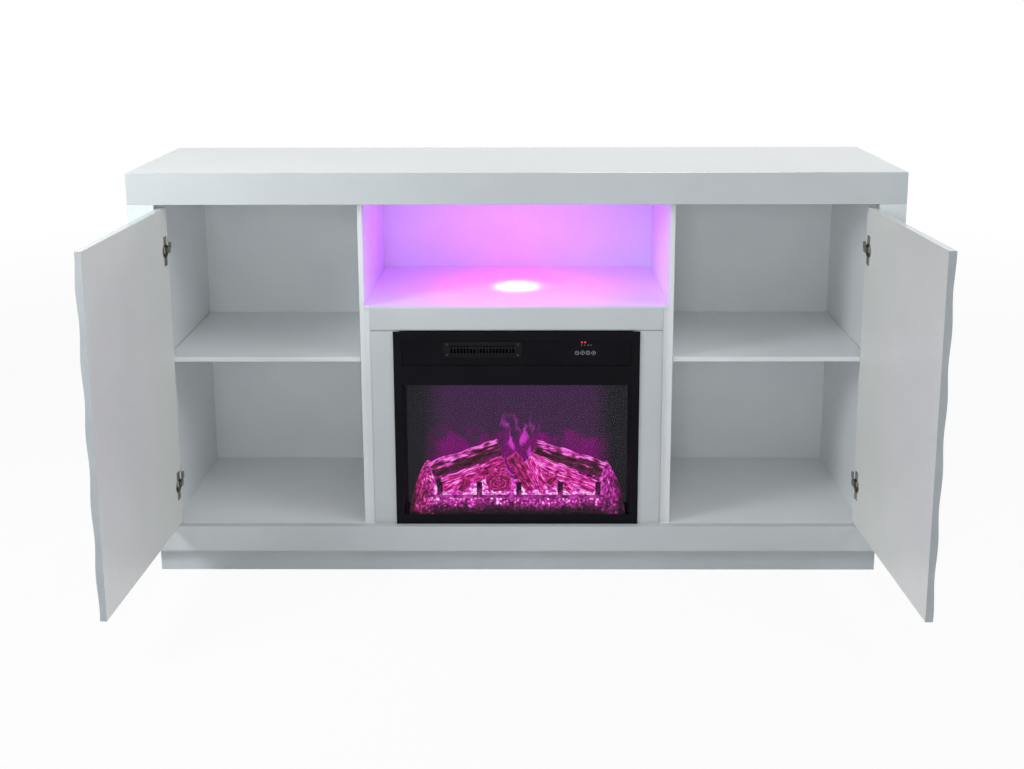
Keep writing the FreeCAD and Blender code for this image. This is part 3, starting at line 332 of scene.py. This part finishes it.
# painted glass-fibre coals: dark crumbs over a violet-lit bed
coalFinish = makeGlowing("cast_coal_bed", {
    "fibreMm": 5.0, "along": 1.0, "gap": 0.45, "crest": 1.4, "reliefMm": 1.0,
    "dark": "0c0a0c", "light": "201a22",
    "strength": 1.12, "ramp": [(0.0, "1a1018"), (0.17, "421c37"), (0.35, "802268"), (0.53, "bc2c9e"),
                               (0.72, "ee46d2"), (0.9, "ff70ea"), (1.0, "ffd8fc")],
    "warmX": (-150, -185), "warmHue": 0.542})
# cast bar and posts, painted black: the bar catches the violet light from below
grateFinish = makeGlowing("cast_grate_bar", {
    "fibreMm": 9.0, "along": 1.0, "gap": 0.55, "crest": 1.4, "reliefMm": 0.3,
    "dark": "0c090b", "light": "181317",
    "strength": 1.0, "ramp": [(0.0, "0c080c"), (0.3, "421638"), (0.5, "8c2272"), (0.75, "c03aa8"),
                              (1.0, "e060d0")]})
print("finishes made")


# helpers for shaping
def startEdit(piece):
    bpy.ops.object.select_all(action="DESELECT")
    piece.select_set(True)
    bpy.context.view_layer.objects.active = piece
    bpy.ops.object.mode_set(mode="EDIT")
    bpy.ops.mesh.select_all(action="SELECT")


def endEdit():
    bpy.ops.object.mode_set(mode="OBJECT")


def applyModifier(piece, kind, **settings):
    bpy.context.view_layer.objects.active = piece
    modifier = piece.modifiers.new(kind.lower(), kind)
    for name, value in settings.items():
        setattr(modifier, name, value)
    bpy.ops.object.modifier_apply(modifier=modifier.name)


def settle(piece, body, slotName, *replaced):   # the piece's place in the frame
    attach(piece, body)
    if replaced:
        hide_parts(*replaced)


easing = {   # the eased arrises of every board, angles in degrees
    "merge": 0.01, "flat": 0.5, "steep": 50, "smooth": 35, "segments": 2, "roundSegments": 5}


def selectFaces(piece, wanted):   # leaves the piece in edit mode with these faces chosen
    startEdit(piece)
    bpy.ops.mesh.select_mode(type="FACE")
    bpy.ops.mesh.select_all(action="DESELECT")
    endEdit()
    for face in piece.data.polygons:
        face.select = wanted(face)
    bpy.ops.object.mode_set(mode="EDIT")


def copyNode(node, name, flat):   # a merged copy of a node's mesh, with its flat faces made whole
    piece = bpy.data.objects.new(name, nodes[node].data.copy())
    bpy.context.scene.collection.objects.link(piece)
    startEdit(piece)
    bpy.ops.mesh.remove_doubles(threshold=easing["merge"] * mm)
    if flat:
        bpy.ops.mesh.dissolve_limited(angle_limit=math.radians(flat))
    endEdit()
    return piece


def easeBoard(node, ease, finish, flat=easing["flat"], rounding=None):   # a board with eased arrises
    piece = copyNode(node, node + "_eased", flat)
    if rounding:   # chosen edges get a full rounding first
        startEdit(piece)
        bpy.ops.mesh.select_mode(type="EDGE")
        bpy.ops.mesh.select_all(action="DESELECT")
        endEdit()
        corners = piece.data.vertices
        for edge in piece.data.edges:
            edge.select = all(rounding["where"](corners[i].co / mm) for i in edge.vertices)
        bpy.ops.object.mode_set(mode="EDIT")
        bpy.ops.mesh.bevel(offset=rounding["radius"] * mm, segments=easing["roundSegments"], affect="EDGES")
        bpy.ops.mesh.select_mode(type="VERT")
        endEdit()
    applyModifier(piece, "BEVEL", width=ease * mm, segments=easing["segments"], limit_method="ANGLE",
                  angle_limit=math.radians(easing["steep"]), use_clamp_overlap=True)
    bpy.ops.object.shade_smooth_by_angle(angle=math.radians(easing["smooth"]))
    applyModifier(piece, "WEIGHTED_NORMAL", keep_sharp=True)
    piece.data.materials.clear()
    piece.data.materials.append(finish)
    return piece


# carcass boards: finish, easing in mm and boards
carcass = {
    "glossLacquer": (0.9, ["top_panel", "left_side_panel", "right_side_panel", "left_front_stile",
                           "right_front_stile", "niche_floor"]),
    "frontLacquer": (0.9, ["top_fascia", "bottom_apron"]),
    "satinMelamine": (0.5, ["left_inner_side", "right_inner_side", "ceiling_panel", "bottom_panel",
                            "left_divider", "right_divider", "bay_liners", "left_shelf", "right_shelf"])}
for finish, (ease, boards) in carcass.items():
    for board in boards:
        settle(easeBoard(board, ease, finishes[finish]), "cabinet", "white", board)

# the surround's outer arrises, where they face the room, are rounded over
surround = {"ease": 0.6, "radius": 4.2, "near": 0.1}
railLow, railHigh = (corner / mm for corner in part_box("surround_top_rail"))


def onSide(at):
    return at.y < railLow.y + surround["near"] and abs(at.x) > railHigh.x - surround["near"]


def onSideOrTop(at):
    return onSide(at) or (at.y < railLow.y + surround["near"] and at.z > railHigh.z - surround["near"])


for board, where in (("surround_stiles", onSide), ("surround_top_rail", onSideOrTop)):
    rounding = {"radius": surround["radius"], "where": where}
    settle(easeBoard(board, surround["ease"], finishes["frontLacquer"], rounding=rounding),
           "cabinet", "white", board)

panels = {"backEase": 0.3, "bezelEase": 0.6}
settle(easeBoard("back_panel", panels["backEase"], finishes["paintedHardboard"]),
       "cabinet", "back_board", "back_panel")
settle(easeBoard("insert_bezel", panels["bezelEase"], finishes["powderCoat"]),
       "cabinet", "black_steel", "insert_bezel")

# the bar's glow is painted light: the violet light that the black bar catches from the embers below
grate = {"ease": 0.8, "barHeight": 5.5, "barPaintedLight": 0.62, "postPaintedLight": 0.06}
bar = easeBoard("log_grate", grate["ease"], grateFinish)
glow = bar.data.attributes.new("glow", "FLOAT", "POINT")
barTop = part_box("log_grate")[0].z + grate["barHeight"] * mm
for vertex in bar.data.vertices:   # painted light on the bar for the violet light it catches from below, almost none on the posts
    glow.data[vertex.index].value = grate["barPaintedLight"] if vertex.co.z < barTop else grate["postPaintedLight"]
settle(bar, "cabinet", "black_steel", "log_grate")
print("boards eased")

# doors
doors = {"ease": 0.5, "flat": 0.05, "innerFace": 0.9, "freeEdge": -0.8}   # the faces by their normals
for side, inward in (("left", 1), ("right", -1)):
    door = easeBoard(side + "_door_panel", doors["ease"], finishes["glossLacquer"], doors["flat"])
    door.data.materials.append(finishes["doorMelamine"])   # the plain inner face
    # the free edge takes the grey band: painted shade
    door.data.materials.append(finishes["edgeBandPaintedShade"])   # the free edge, in front while the door is open
    for face in door.data.polygons:
        if face.normal.x * inward > doors["innerFace"]:
            face.material_index = 1
        elif face.normal.y < doors["freeEdge"]:
            face.material_index = 2
    settle(door, side + "_door", "white", side + "_door_panel")
print("doors eased")

# logs: two bark logs lean in over a heap of split ones
logs = {
    "rings": 38, "corners": 52, "endShare": 0.01,
    "endRings": 8, "endStep": 0.115, "barkFrom": 0.95,   # shares of the radius
    # how often these come round a log and along it
    "lump": (1.3, 5), "groove": (4.5, 3.2), "fibre": (9, 5), "plate": (1.6, 9), "tear": (3, 4),
    "grooveDepth": 0.7, "fibreDepth": 0.4, "tearDepth": 0.22,
    "fibreHeat": 0.7, "ringHeat": 0.8, "ringCount": 20, "ringWander": 5, "topLightRange": 0.5, "smooth": 50,
    # top and from: painted light, more glow on each kind's upward faces for the violet light falling on
    # them from above
    "bark": {"ridge": 0.22, "lump": 0.26, "base": 0.17, "from": 0.36, "top": 0.66,
             "streak": 0.9, "plates": 1.5},
    "split": {"ridge": 0.26, "lump": 0.18, "base": 0.66, "from": 0.35, "top": 0.10,
              "streak": 0.8, "plates": 0.5},
    "scorched": {"ridge": 0.24, "lump": 0.18, "base": 0.40, "from": 0.30, "top": 0.16,
                 "streak": 0.8, "plates": 0.6},
    "list": [   # kind, low end and high end (mm), radius low and high, seed
        ("bark", (-172, -82, 170), (-35, -82, 221), 16.0, 14.5, 1.3),
        ("bark", (172, -82, 170), (36, -82, 219), 16.0, 14.0, 7.7),
        ("scorched", (29, -109, 150), (-11, -98, 208), 14.0, 13.0, 3.1),
        ("split", (54, -112, 146), (24, -97, 201), 14.0, 12.0, 5.9),
        ("scorched", (40, -114, 147), (80, -101, 178), 11.0, 11.0, 8.4),
        ("split", (112, -99, 164), (24, -96, 202), 14.0, 12.0, 33.7),
        ("split", (150, -108, 149), (78, -100, 173), 13.5, 12.0, 17.6),
        ("split", (108, -113, 146), (74, -108, 163), 10.0, 9.0, 23.5),
        ("split", (-142, -106, 150), (-70, -100, 178), 14.0, 13.5, 11.2),
        ("scorched", (-84, -101, 172), (-26, -98, 196), 13.5, 11.5, 29.1),
        ("scorched", (-113, -115, 147), (-95, -108, 166), 10.0, 10.5, 13.4),
        ("scorched", (-36, -104, 167), (-36, -119, 161), 23.0, 22.0, 19.8)]}


def makeBlank():   # a cylinder one long and one in radius, cut into rings, that every log is carved from
    bpy.ops.object.select_all(action="DESELECT")
    bpy.ops.mesh.primitive_cylinder_add(vertices=logs["corners"], radius=1.0, depth=1.0)
    blank = bpy.context.active_object
    startEdit(blank)
    for i in range(1, logs["rings"]):
        bpy.ops.mesh.select_all(action="SELECT")
        bpy.ops.mesh.bisect(plane_co=(0, 0, i / logs["rings"] - 0.5), plane_no=(0, 0, 1))
    endEdit()
    selectFaces(blank, lambda face: len(face.vertices) > 4)   # the two ends
    for i in range(logs["endRings"]):
        bpy.ops.mesh.inset(thickness=logs["endStep"])
    bpy.ops.mesh.select_mode(type="VERT")
    endEdit()
    return blank


def carveLog(blank, kind, lowEnd, highEnd, lowRadius, highRadius, seed):   # ridged, with torn ends
    look = logs[kind]
    low, high = Vector(lowEnd) * mm, Vector(highEnd) * mm
    length = (high - low).length
    piece = bpy.data.objects.new("log", blank.data.copy())
    bpy.context.scene.collection.objects.link(piece)
    streaks = []
    for vertex in piece.data.vertices:
        share = vertex.co.z + 0.5
        angle = math.atan2(vertex.co.y, vertex.co.x)
        around = Vector((math.cos(angle), math.sin(angle), 0))
        inner = math.hypot(vertex.co.x, vertex.co.y)   # 1 on the bark, less on the cut ends
        radius = (lowRadius + (highRadius - lowRadius) * share) * mm * inner
        lump = noise.noise(around * logs["lump"][0] + Vector((0, 0, share * logs["lump"][1] + seed)))
        groove = noise.noise(around * logs["groove"][0] + Vector((seed, 0, share * logs["groove"][1])))
        fibre = noise.noise(around * logs["fibre"][0] + Vector((0, seed, share * logs["fibre"][1])))
        plate = noise.noise(around * logs["plate"][0] + Vector((seed, seed, share * logs["plate"][1])))
        tear = noise.noise(around * logs["tear"][0] * inner + Vector((seed, seed, inner * logs["tear"][1])))
        radius *= 1 + look["lump"] * lump + look["ridge"] * (
            logs["grooveDepth"] * groove + logs["fibreDepth"] * fibre)
        atEnd = min(share, 1 - share) < logs["endShare"]
        ragged = logs["tearDepth"] * lowRadius * mm * tear if atEnd else 0
        vertex.co = around * radius + Vector((0, 0, vertex.co.z * length + ragged))
        if atEnd and inner < logs["barkFrom"]:   # year rings
            turns = inner * logs["ringCount"] + lump * logs["ringWander"]
            streaks.append(logs["ringHeat"] * math.sin(turns))
        else:
            streaks.append(groove + logs["fibreHeat"] * fibre + look["plates"] * plate)
    grain = piece.data.attributes.new("grain", "FLOAT_VECTOR", "POINT")   # the log's own lengthwise place
    for vertex in piece.data.vertices:
        grain.data[vertex.index].vector = vertex.co + Vector((seed, 0, seed))
    turn = Vector((0, 0, 1)).rotation_difference(high - low).to_matrix().to_4x4()
    piece.data.transform(Matrix.Translation((low + high) / 2) @ turn)
    startEdit(piece)
    bpy.ops.mesh.normals_make_consistent(inside=False)
    endEdit()
    glow = piece.data.attributes.new("glow", "FLOAT", "POINT")
    for vertex, streak in zip(piece.data.vertices, streaks):
        # painted light: the upward faces glow more, standing in for the violet light from above
        up = min(max((vertex.normal.z - look["from"]) / logs["topLightRange"], 0), 1)
        heat = (look["base"] + look["top"] * up) * (1 + look["streak"] * streak)
        glow.data[vertex.index].value = min(max(heat, 0), 1)
    piece.data.materials.append(barkFinish if kind == "bark" else splitFinish)
    bpy.ops.object.shade_smooth_by_angle(angle=math.radians(logs["smooth"]))
    return piece


def joinPieces(pieces, name):
    bpy.ops.object.select_all(action="DESELECT")
    for piece in pieces:
        piece.select_set(True)
    bpy.context.view_layer.objects.active = pieces[0]
    bpy.ops.object.join()
    pieces[0].name = pieces[0].data.name = name
    return pieces[0]


blank = makeBlank()
carved = [carveLog(blank, *log) for log in logs["list"]]
bpy.data.objects.remove(blank)
settle(joinPieces(carved, "carved_logs"), "cabinet", "logs", "log_set")
print("logs carved")

# ember bed: crumbled coals on the slope and ledge, heaped over the ends of the leaning logs
embers = {   # places in mm
    "voxel": 1.7, "lump": 6.5, "lumpHeight": 2.6, "lumpSink": 0.6, "crease": 0.45, "front": 0.6,
    # the plain bed's section: its lip, the slope up to the ledge, and the step behind
    "lip": 14, "slopeEnd": -132, "ledge": 135.2, "step": (-99, -95), "keep": (2, 10), "slope": (14, 37),
    # the heaps: where they rise out of the bed, fall outwards and climb backwards
    "heapFoot": 105, "heapTop": 186, "heapRise": (148, 174), "heapFall": (170, 209),
    "heapBack": (-141, -104), "fallPower": 1.8, "backPower": 0.8, "wobble": 8, "wobbleSize": 13,
    "barBack": -124, "band": (135, 147), "skirt": (184, 205)}
heats = {   # how bright the coals glow
    "seed": 17.3, "patchSizes": (22, 8), "patches": (0.6, 0.5), "blend": (0.2, 0.8), "most": 2,
    "foot": (0.09, 0.22), "slope": (0.85, 0.9),   # plain share and share in patches
    "band": 0.92, "bandFall": 0.42, "heap": 0.28, "heapSlope": 0.48, "heapPatch": 0.5, "skirtFall": 0.55,
    "leftHeap": 1.15, "rightHeap": 0.95,
    "coal": (0.25, 0.45, 0.85), "crumb": (0.3, 0.4, 0.7)}   # between coals, on a coal, and its own chance


def rampShare(value, start, end):
    return min(max((value - start) / (end - start), 0), 1)


def smoothShare(value, start, end):
    share = rampShare(value, start, end)
    return share * share * (3 - 2 * share)


def cellHeat(parts, crease, chance):
    return parts[0] + parts[1] * crease + parts[2] * chance * crease


def makeEmbers():   # the bed's copy, remeshed, heaped and broken into coals
    piece = copyNode("ember_bed", "glowing_coals", None)
    applyModifier(piece, "REMESH", mode="VOXEL", voxel_size=embers["voxel"] * mm, use_smooth_shade=True)
    low, high = (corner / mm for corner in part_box("ember_bed"))
    lipTop = low.z + embers["lip"]
    heapHeight = embers["heapTop"] - embers["heapFoot"]
    glow = piece.data.attributes.new("glow", "FLOAT", "POINT")
    normals = [vertex.normal.copy() for vertex in piece.data.vertices]   # of the plain bed
    for vertex, normal in zip(piece.data.vertices, normals):
        at, side = vertex.co / mm, abs(vertex.co.x / mm)
        # the height of the plain bed here, and of the heap that lies over it
        plain = lipTop + (embers["ledge"] - lipTop) * min((at.y - low.y) / (embers["slopeEnd"] - low.y), 1)
        plain += (high.z - embers["ledge"]) * rampShare(at.y, *embers["step"])
        outward = rampShare(side, *embers["heapFall"])
        backward = rampShare(at.y, *embers["heapBack"])
        heaped = embers["heapFoot"] + heapHeight * (
            1 - outward ** embers["fallPower"]) * backward ** embers["backPower"]
        heaped += embers["wobble"] * noise.noise(at / embers["wobbleSize"])
        heap = smoothShare(side, *embers["heapRise"])
        wanted = plain + (heaped - plain) * heap
        above = at.z - low.z
        keep = smoothShare(above, *embers["keep"])
        slope = smoothShare(above, *embers["slope"])
        band = smoothShare(at.z, *embers["band"])
        at.z = low.z + above * (wanted - low.z) / (plain - low.z)
        gaps, seeds = noise.voronoi(at / embers["lump"])
        crease = min((gaps[1] - gaps[0]) / embers["crease"], 1)
        chance = 0.5 + 0.5 * noise.noise(seeds[0] * heats["seed"])   # each coal's own heat
        patch = sum(share * noise.noise(at / size)
                    for share, size in zip(heats["patches"], heats["patchSizes"]))
        if at.y > embers["barBack"]:   # behind the bar, lit smoothly from inside
            coals = heats["band"] - heats["bandFall"] * band + patch
        else:
            evenly, patchy = (foot + rise * slope for foot, rise in zip(heats["foot"], heats["slope"]))
            coals = (evenly + patchy * patch) * cellHeat(heats["coal"], crease, chance)
        crumbs = heats["heap"] + heats["heapSlope"] * slope + heats["heapPatch"] * patch
        crumbs -= heats["skirtFall"] * smoothShare(side, *embers["skirt"])
        crumbs *= cellHeat(heats["crumb"], crease, chance)
        crumbs *= heats["leftHeap"] if at.x < 0 else heats["rightHeap"]
        heat = coals + (crumbs - coals) * smoothShare(heap, *heats["blend"])
        glow.data[vertex.index].value = min(max(heat, 0), heats["most"])
        up = max(normal.z, 0) + embers["front"] * max(-normal.y, 0)
        vertex.co.z = (at.z + up * keep * embers["lumpHeight"] * (crease - embers["lumpSink"])) * mm
    piece.data.materials.clear()
    piece.data.materials.append(coalFinish)
    return piece


settle(makeEmbers(), "cabinet", "embers", "ember_bed")
print("embers heaped")

# keys and printed marks
keys = {"radius": 4.3, "rim": 0.45, "ring": 0.75, "wall": 0.3, "dish": 0.35, "floor": 1.9, "dot": 1.2,
        "near": 0.05, "front": 0.5, "facing": -0.9, "ease": 0.12}


def makeKey(node):   # a turned cap: black rim, printed ring, dished middle with a printed dot
    low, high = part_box(node)
    centre = (low + high) / 2
    cap = copyNode(node, node + "_cap", easing["flat"])

    def inFront(face, depth):
        return face.normal.y < keys["facing"] and face.center.y < low.y + depth * mm

    selectFaces(cap, lambda face: inFront(face, keys["near"]))
    bpy.ops.mesh.inset(thickness=keys["rim"] * mm)
    bpy.ops.mesh.inset(thickness=keys["ring"] * mm)
    bpy.ops.mesh.inset(thickness=keys["wall"] * mm, depth=-keys["dish"] * mm)
    bpy.ops.mesh.inset(thickness=keys["floor"] * mm)
    bpy.ops.mesh.select_mode(type="VERT")
    endEdit()
    cap.data.materials.clear()
    cap.data.materials.append(finishes["blackAbs"])
    cap.data.materials.append(finishes["paleInk"])
    for face in cap.data.polygons:
        if inFront(face, keys["front"]):
            spread = max((cap.data.vertices[i].co - centre).xz.length for i in face.vertices) / mm
            onRing = abs(spread - (keys["radius"] - keys["rim"])) < keys["near"]
            face.material_index = 1 if onRing or spread < keys["dot"] else 0
    applyModifier(cap, "BEVEL", width=keys["ease"] * mm, segments=easing["segments"], limit_method="ANGLE",
                  angle_limit=math.radians(easing["steep"]))
    bpy.ops.object.shade_smooth_by_angle(angle=math.radians(easing["smooth"]))
    return cap


for node in ("power_key", "flame_key", "low_heat_key", "high_heat_key"):
    settle(makeKey(node), node, "keys", node)

marks = {"at": (120.0, 126.0, 132.7, 137.5), "height": 447.5, "corners": 24, "radius": 0.75,
         "thick": 0.08, "ease": 0.03}
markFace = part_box("control_panel")[0].y - marks["thick"] / 2 * mm
forward = Matrix.Rotation(math.radians(90), 4, "X")
printed = []
for x in marks["at"]:   # a row of plain printed dots under the lamps
    bpy.ops.object.select_all(action="DESELECT")
    bpy.ops.mesh.primitive_cylinder_add(
        vertices=marks["corners"], radius=marks["radius"] * mm, depth=marks["thick"] * mm)
    dot = bpy.context.active_object
    dot.data.transform(Matrix.Translation((x * mm, markFace, marks["height"] * mm)) @ forward)
    applyModifier(dot, "BEVEL", width=marks["ease"] * mm, segments=easing["segments"], limit_method="ANGLE")
    dot.data.materials.append(finishes["paleInk"])
    printed.append(dot)
settle(joinPieces(printed, "printed_marks"), "cabinet", "keys")
print("keys turned")

# what stays as the CAD gives it, with its finish
ownFinish = {"heater_grille": finishes["louvreCoatPaintedLight"], "grille_screws": finishes["blackenedSteel"]}
for name, node in nodes.items():
    if node.hide_render:
        continue
    slotName = node.material_slots[0].material.name.split(".")[0]
    finish = {"glass": glassFinish, "screen": screenFinish}.get(slotName) or ownFinish.get(name)
    node.material_slots[0].material = finish or finishes[slotFinish[slotName]]
print("CAD nodes finished")

# stage
stage = {"floorSize": 40.0, "floor": "eeeeee", "world": 0.08,
         "whiteShare": 0.93, "whiteFrom": 1.6, "whiteTo": 4.0}
bpy.ops.object.select_all(action="DESELECT")
bpy.ops.mesh.primitive_plane_add(size=stage["floorSize"])
floor = bpy.context.active_object
floor.name = "floor"


def seenBackground(tree):   # one where the camera, a mirror or a pane sees the background
    rays = addNode(tree, "ShaderNodeLightPath").outputs
    seen = addNode(tree, "ShaderNodeMath", {
        0: rays["Is Camera Ray"], 1: rays["Is Glossy Ray"]}, operation="MAXIMUM")
    return addNode(tree, "ShaderNodeMath", {
        0: seen.outputs[0], 1: rays["Is Transmission Ray"]}, operation="MAXIMUM").outputs[0]


floorFinish, tree = newMaterial("pale_studio_floor")
spot = addNode(tree, "ShaderNodeTexCoord").outputs["Object"]
reach = addNode(tree, "ShaderNodeVectorMath", {0: spot}, operation="LENGTH")
paler = addNode(tree, "ShaderNodeMapRange", {   # far off, the floor runs into the white background
    "Value": reach.outputs["Value"], "From Min": stage["whiteFrom"], "From Max": stage["whiteTo"],
    "To Min": stage["whiteShare"], "To Max": 1.0}, interpolation_type="SMOOTHSTEP")
share = addNode(tree, "ShaderNodeMath", {
    0: seenBackground(tree), 1: paler.outputs[0]}, operation="MULTIPLY")
matt = addNode(tree, "ShaderNodeBsdfDiffuse", {"Color": linearColour(stage["floor"])})
white = addNode(tree, "ShaderNodeEmission", {"Color": (1, 1, 1, 1), "Strength": 1.0})
blend = addNode(tree, "ShaderNodeMixShader", {0: share.outputs[0], 1: matt.outputs[0], 2: white.outputs[0]})
addNode(tree, "ShaderNodeOutputMaterial", {"Surface": blend.outputs[0]})
floor.data.materials.append(floorFinish)

world = bpy.data.worlds.new("soft_studio")
bpy.context.scene.world = world
world.use_nodes = True
tree = world.node_tree
tree.nodes.clear()
strength = addNode(tree, "ShaderNodeMapRange", {
    "Value": seenBackground(tree), "To Min": stage["world"], "To Max": 1.0})
sky = addNode(tree, "ShaderNodeBackground", {"Color": (1, 1, 1, 1), "Strength": strength.outputs[0]})
addNode(tree, "ShaderNodeOutputWorld", {"Surface": sky.outputs[0]})

# lights
lamps = {
    "front": {"at": (-0.2, -3.8, 1.15), "to": (0.0, -0.1, 0.4),
              "size": 1.2, "watts": 19, "colour": "f7faff"},
    "left": {"at": (-1.35, -0.95, 1.2), "to": (-0.6, -0.1, 0.72),
             "size": 0.5, "watts": 12, "colour": "f4fbff"},
    "highLeft": {"at": (-2.0, -1.2, 2.0), "to": (0.3, -0.3, 0.4),
                 "size": 1.2, "watts": 3, "colour": "f4fbff"},
    "highRight": {"at": (2.0, -1.2, 2.0), "to": (-0.3, -0.3, 0.4),
                  "size": 1.2, "watts": 18, "colour": "f4fbff"},
    "top": {"at": (0.1, 0.3, 2.8), "to": (0.0, 0.0, 0.7),
            "size": 2.2, "watts": 6, "colour": "f4fff6"},
    "high": {"at": (0.0, -1.6, 3.2), "to": (0.0, 0.0, 0.5),
             "size": 2.4, "watts": 22, "colour": "f7faff"},
    "rear": {"at": (0.7, 2.5, 2.5), "to": (0.0, 0.2, 0.4),
             "size": 1.0, "watts": 26, "colour": "f7faff"}}
for lampName, lamp in lamps.items():
    bpy.ops.object.light_add(type="AREA", location=lamp["at"])
    light = bpy.context.active_object
    light.name = lampName + "_light"
    light.data.size = lamp["size"]
    light.data.energy = lamp["watts"]
    light.data.color = linearColour(lamp["colour"])[:3]
    aim = Vector(lamp["to"]) - Vector(lamp["at"])
    light.rotation_euler = aim.to_track_quat("-Z", "Y").to_euler()

nicheLamps = {   # the spotlight's own light: a violet wash, a pink cone and a white core
    "wash": {"kind": "AREA", "at": (0, -10, 709), "watts": 0.85, "colour": (0.46, 0.0, 1.0),
             "size": (0.44, 0.2)},
    "cone": {"kind": "SPOT", "at": (0, -4, 708), "watts": 1.7, "colour": (1.0, 0.0, 0.45),
             "angle": 108, "blur": 0.9, "source": 12},
    "core": {"kind": "SPOT", "at": (0, -4, 708), "watts": 3.0, "colour": (1.0, 0.9, 1.0),
             "angle": 34, "blur": 1.0, "source": 12}}
for lampName, lamp in nicheLamps.items():
    bpy.ops.object.light_add(type=lamp["kind"], location=[c * mm for c in lamp["at"]])
    light = bpy.context.active_object
    light.name = "niche_" + lampName
    light.data.energy = lamp["watts"]
    light.data.color = lamp["colour"]
    if lamp["kind"] == "AREA":
        light.data.shape = "RECTANGLE"
        light.data.size, light.data.size_y = lamp["size"]
    else:
        light.data.spot_size = math.radians(lamp["angle"])
        light.data.spot_blend = lamp["blur"]
        light.data.shadow_soft_size = lamp["source"] * mm
print("lights placed")

# camera at the photo's view
view = {"at": (20.41, -2277.98, 1102.27), "yaw": 0.00632, "pitch": -0.18239, "roll": -0.0024,
        "focal": 1195.07, "centre": (519.96, 205.0), "image": (1024, 769), "sensor": 36.0}
bpy.ops.object.camera_add()
camera = bpy.context.active_object
bpy.context.scene.camera = camera
ahead = Vector((-math.sin(view["yaw"]), math.cos(view["yaw"]), 0))
right = Vector((math.cos(view["yaw"]), math.sin(view["yaw"]), 0))
looking = ahead * math.cos(view["pitch"]) + Vector((0, 0, 1)) * math.sin(view["pitch"])
upward = Vector((0, 0, 1)) * math.cos(view["pitch"]) - ahead * math.sin(view["pitch"])
across = right * math.cos(view["roll"]) + upward * math.sin(view["roll"])
upright = upward * math.cos(view["roll"]) - right * math.sin(view["roll"])
turn = Matrix((across, upright, -looking)).transposed().to_4x4()
camera.matrix_world = Matrix.Translation(Vector(view["at"]) * mm) @ turn
camera.data.sensor_fit = "HORIZONTAL"
camera.data.sensor_width = view["sensor"]
camera.data.lens = view["focal"] / view["image"][0] * view["sensor"]
camera.data.shift_x = (view["image"][0] / 2 - view["centre"][0]) / view["image"][0]
camera.data.shift_y = (view["centre"][1] - view["image"][1] / 2) / view["image"][0]
camera.data.clip_end = 200.0
bpy.context.scene.view_settings.view_transform = "Standard"
print("camera set")
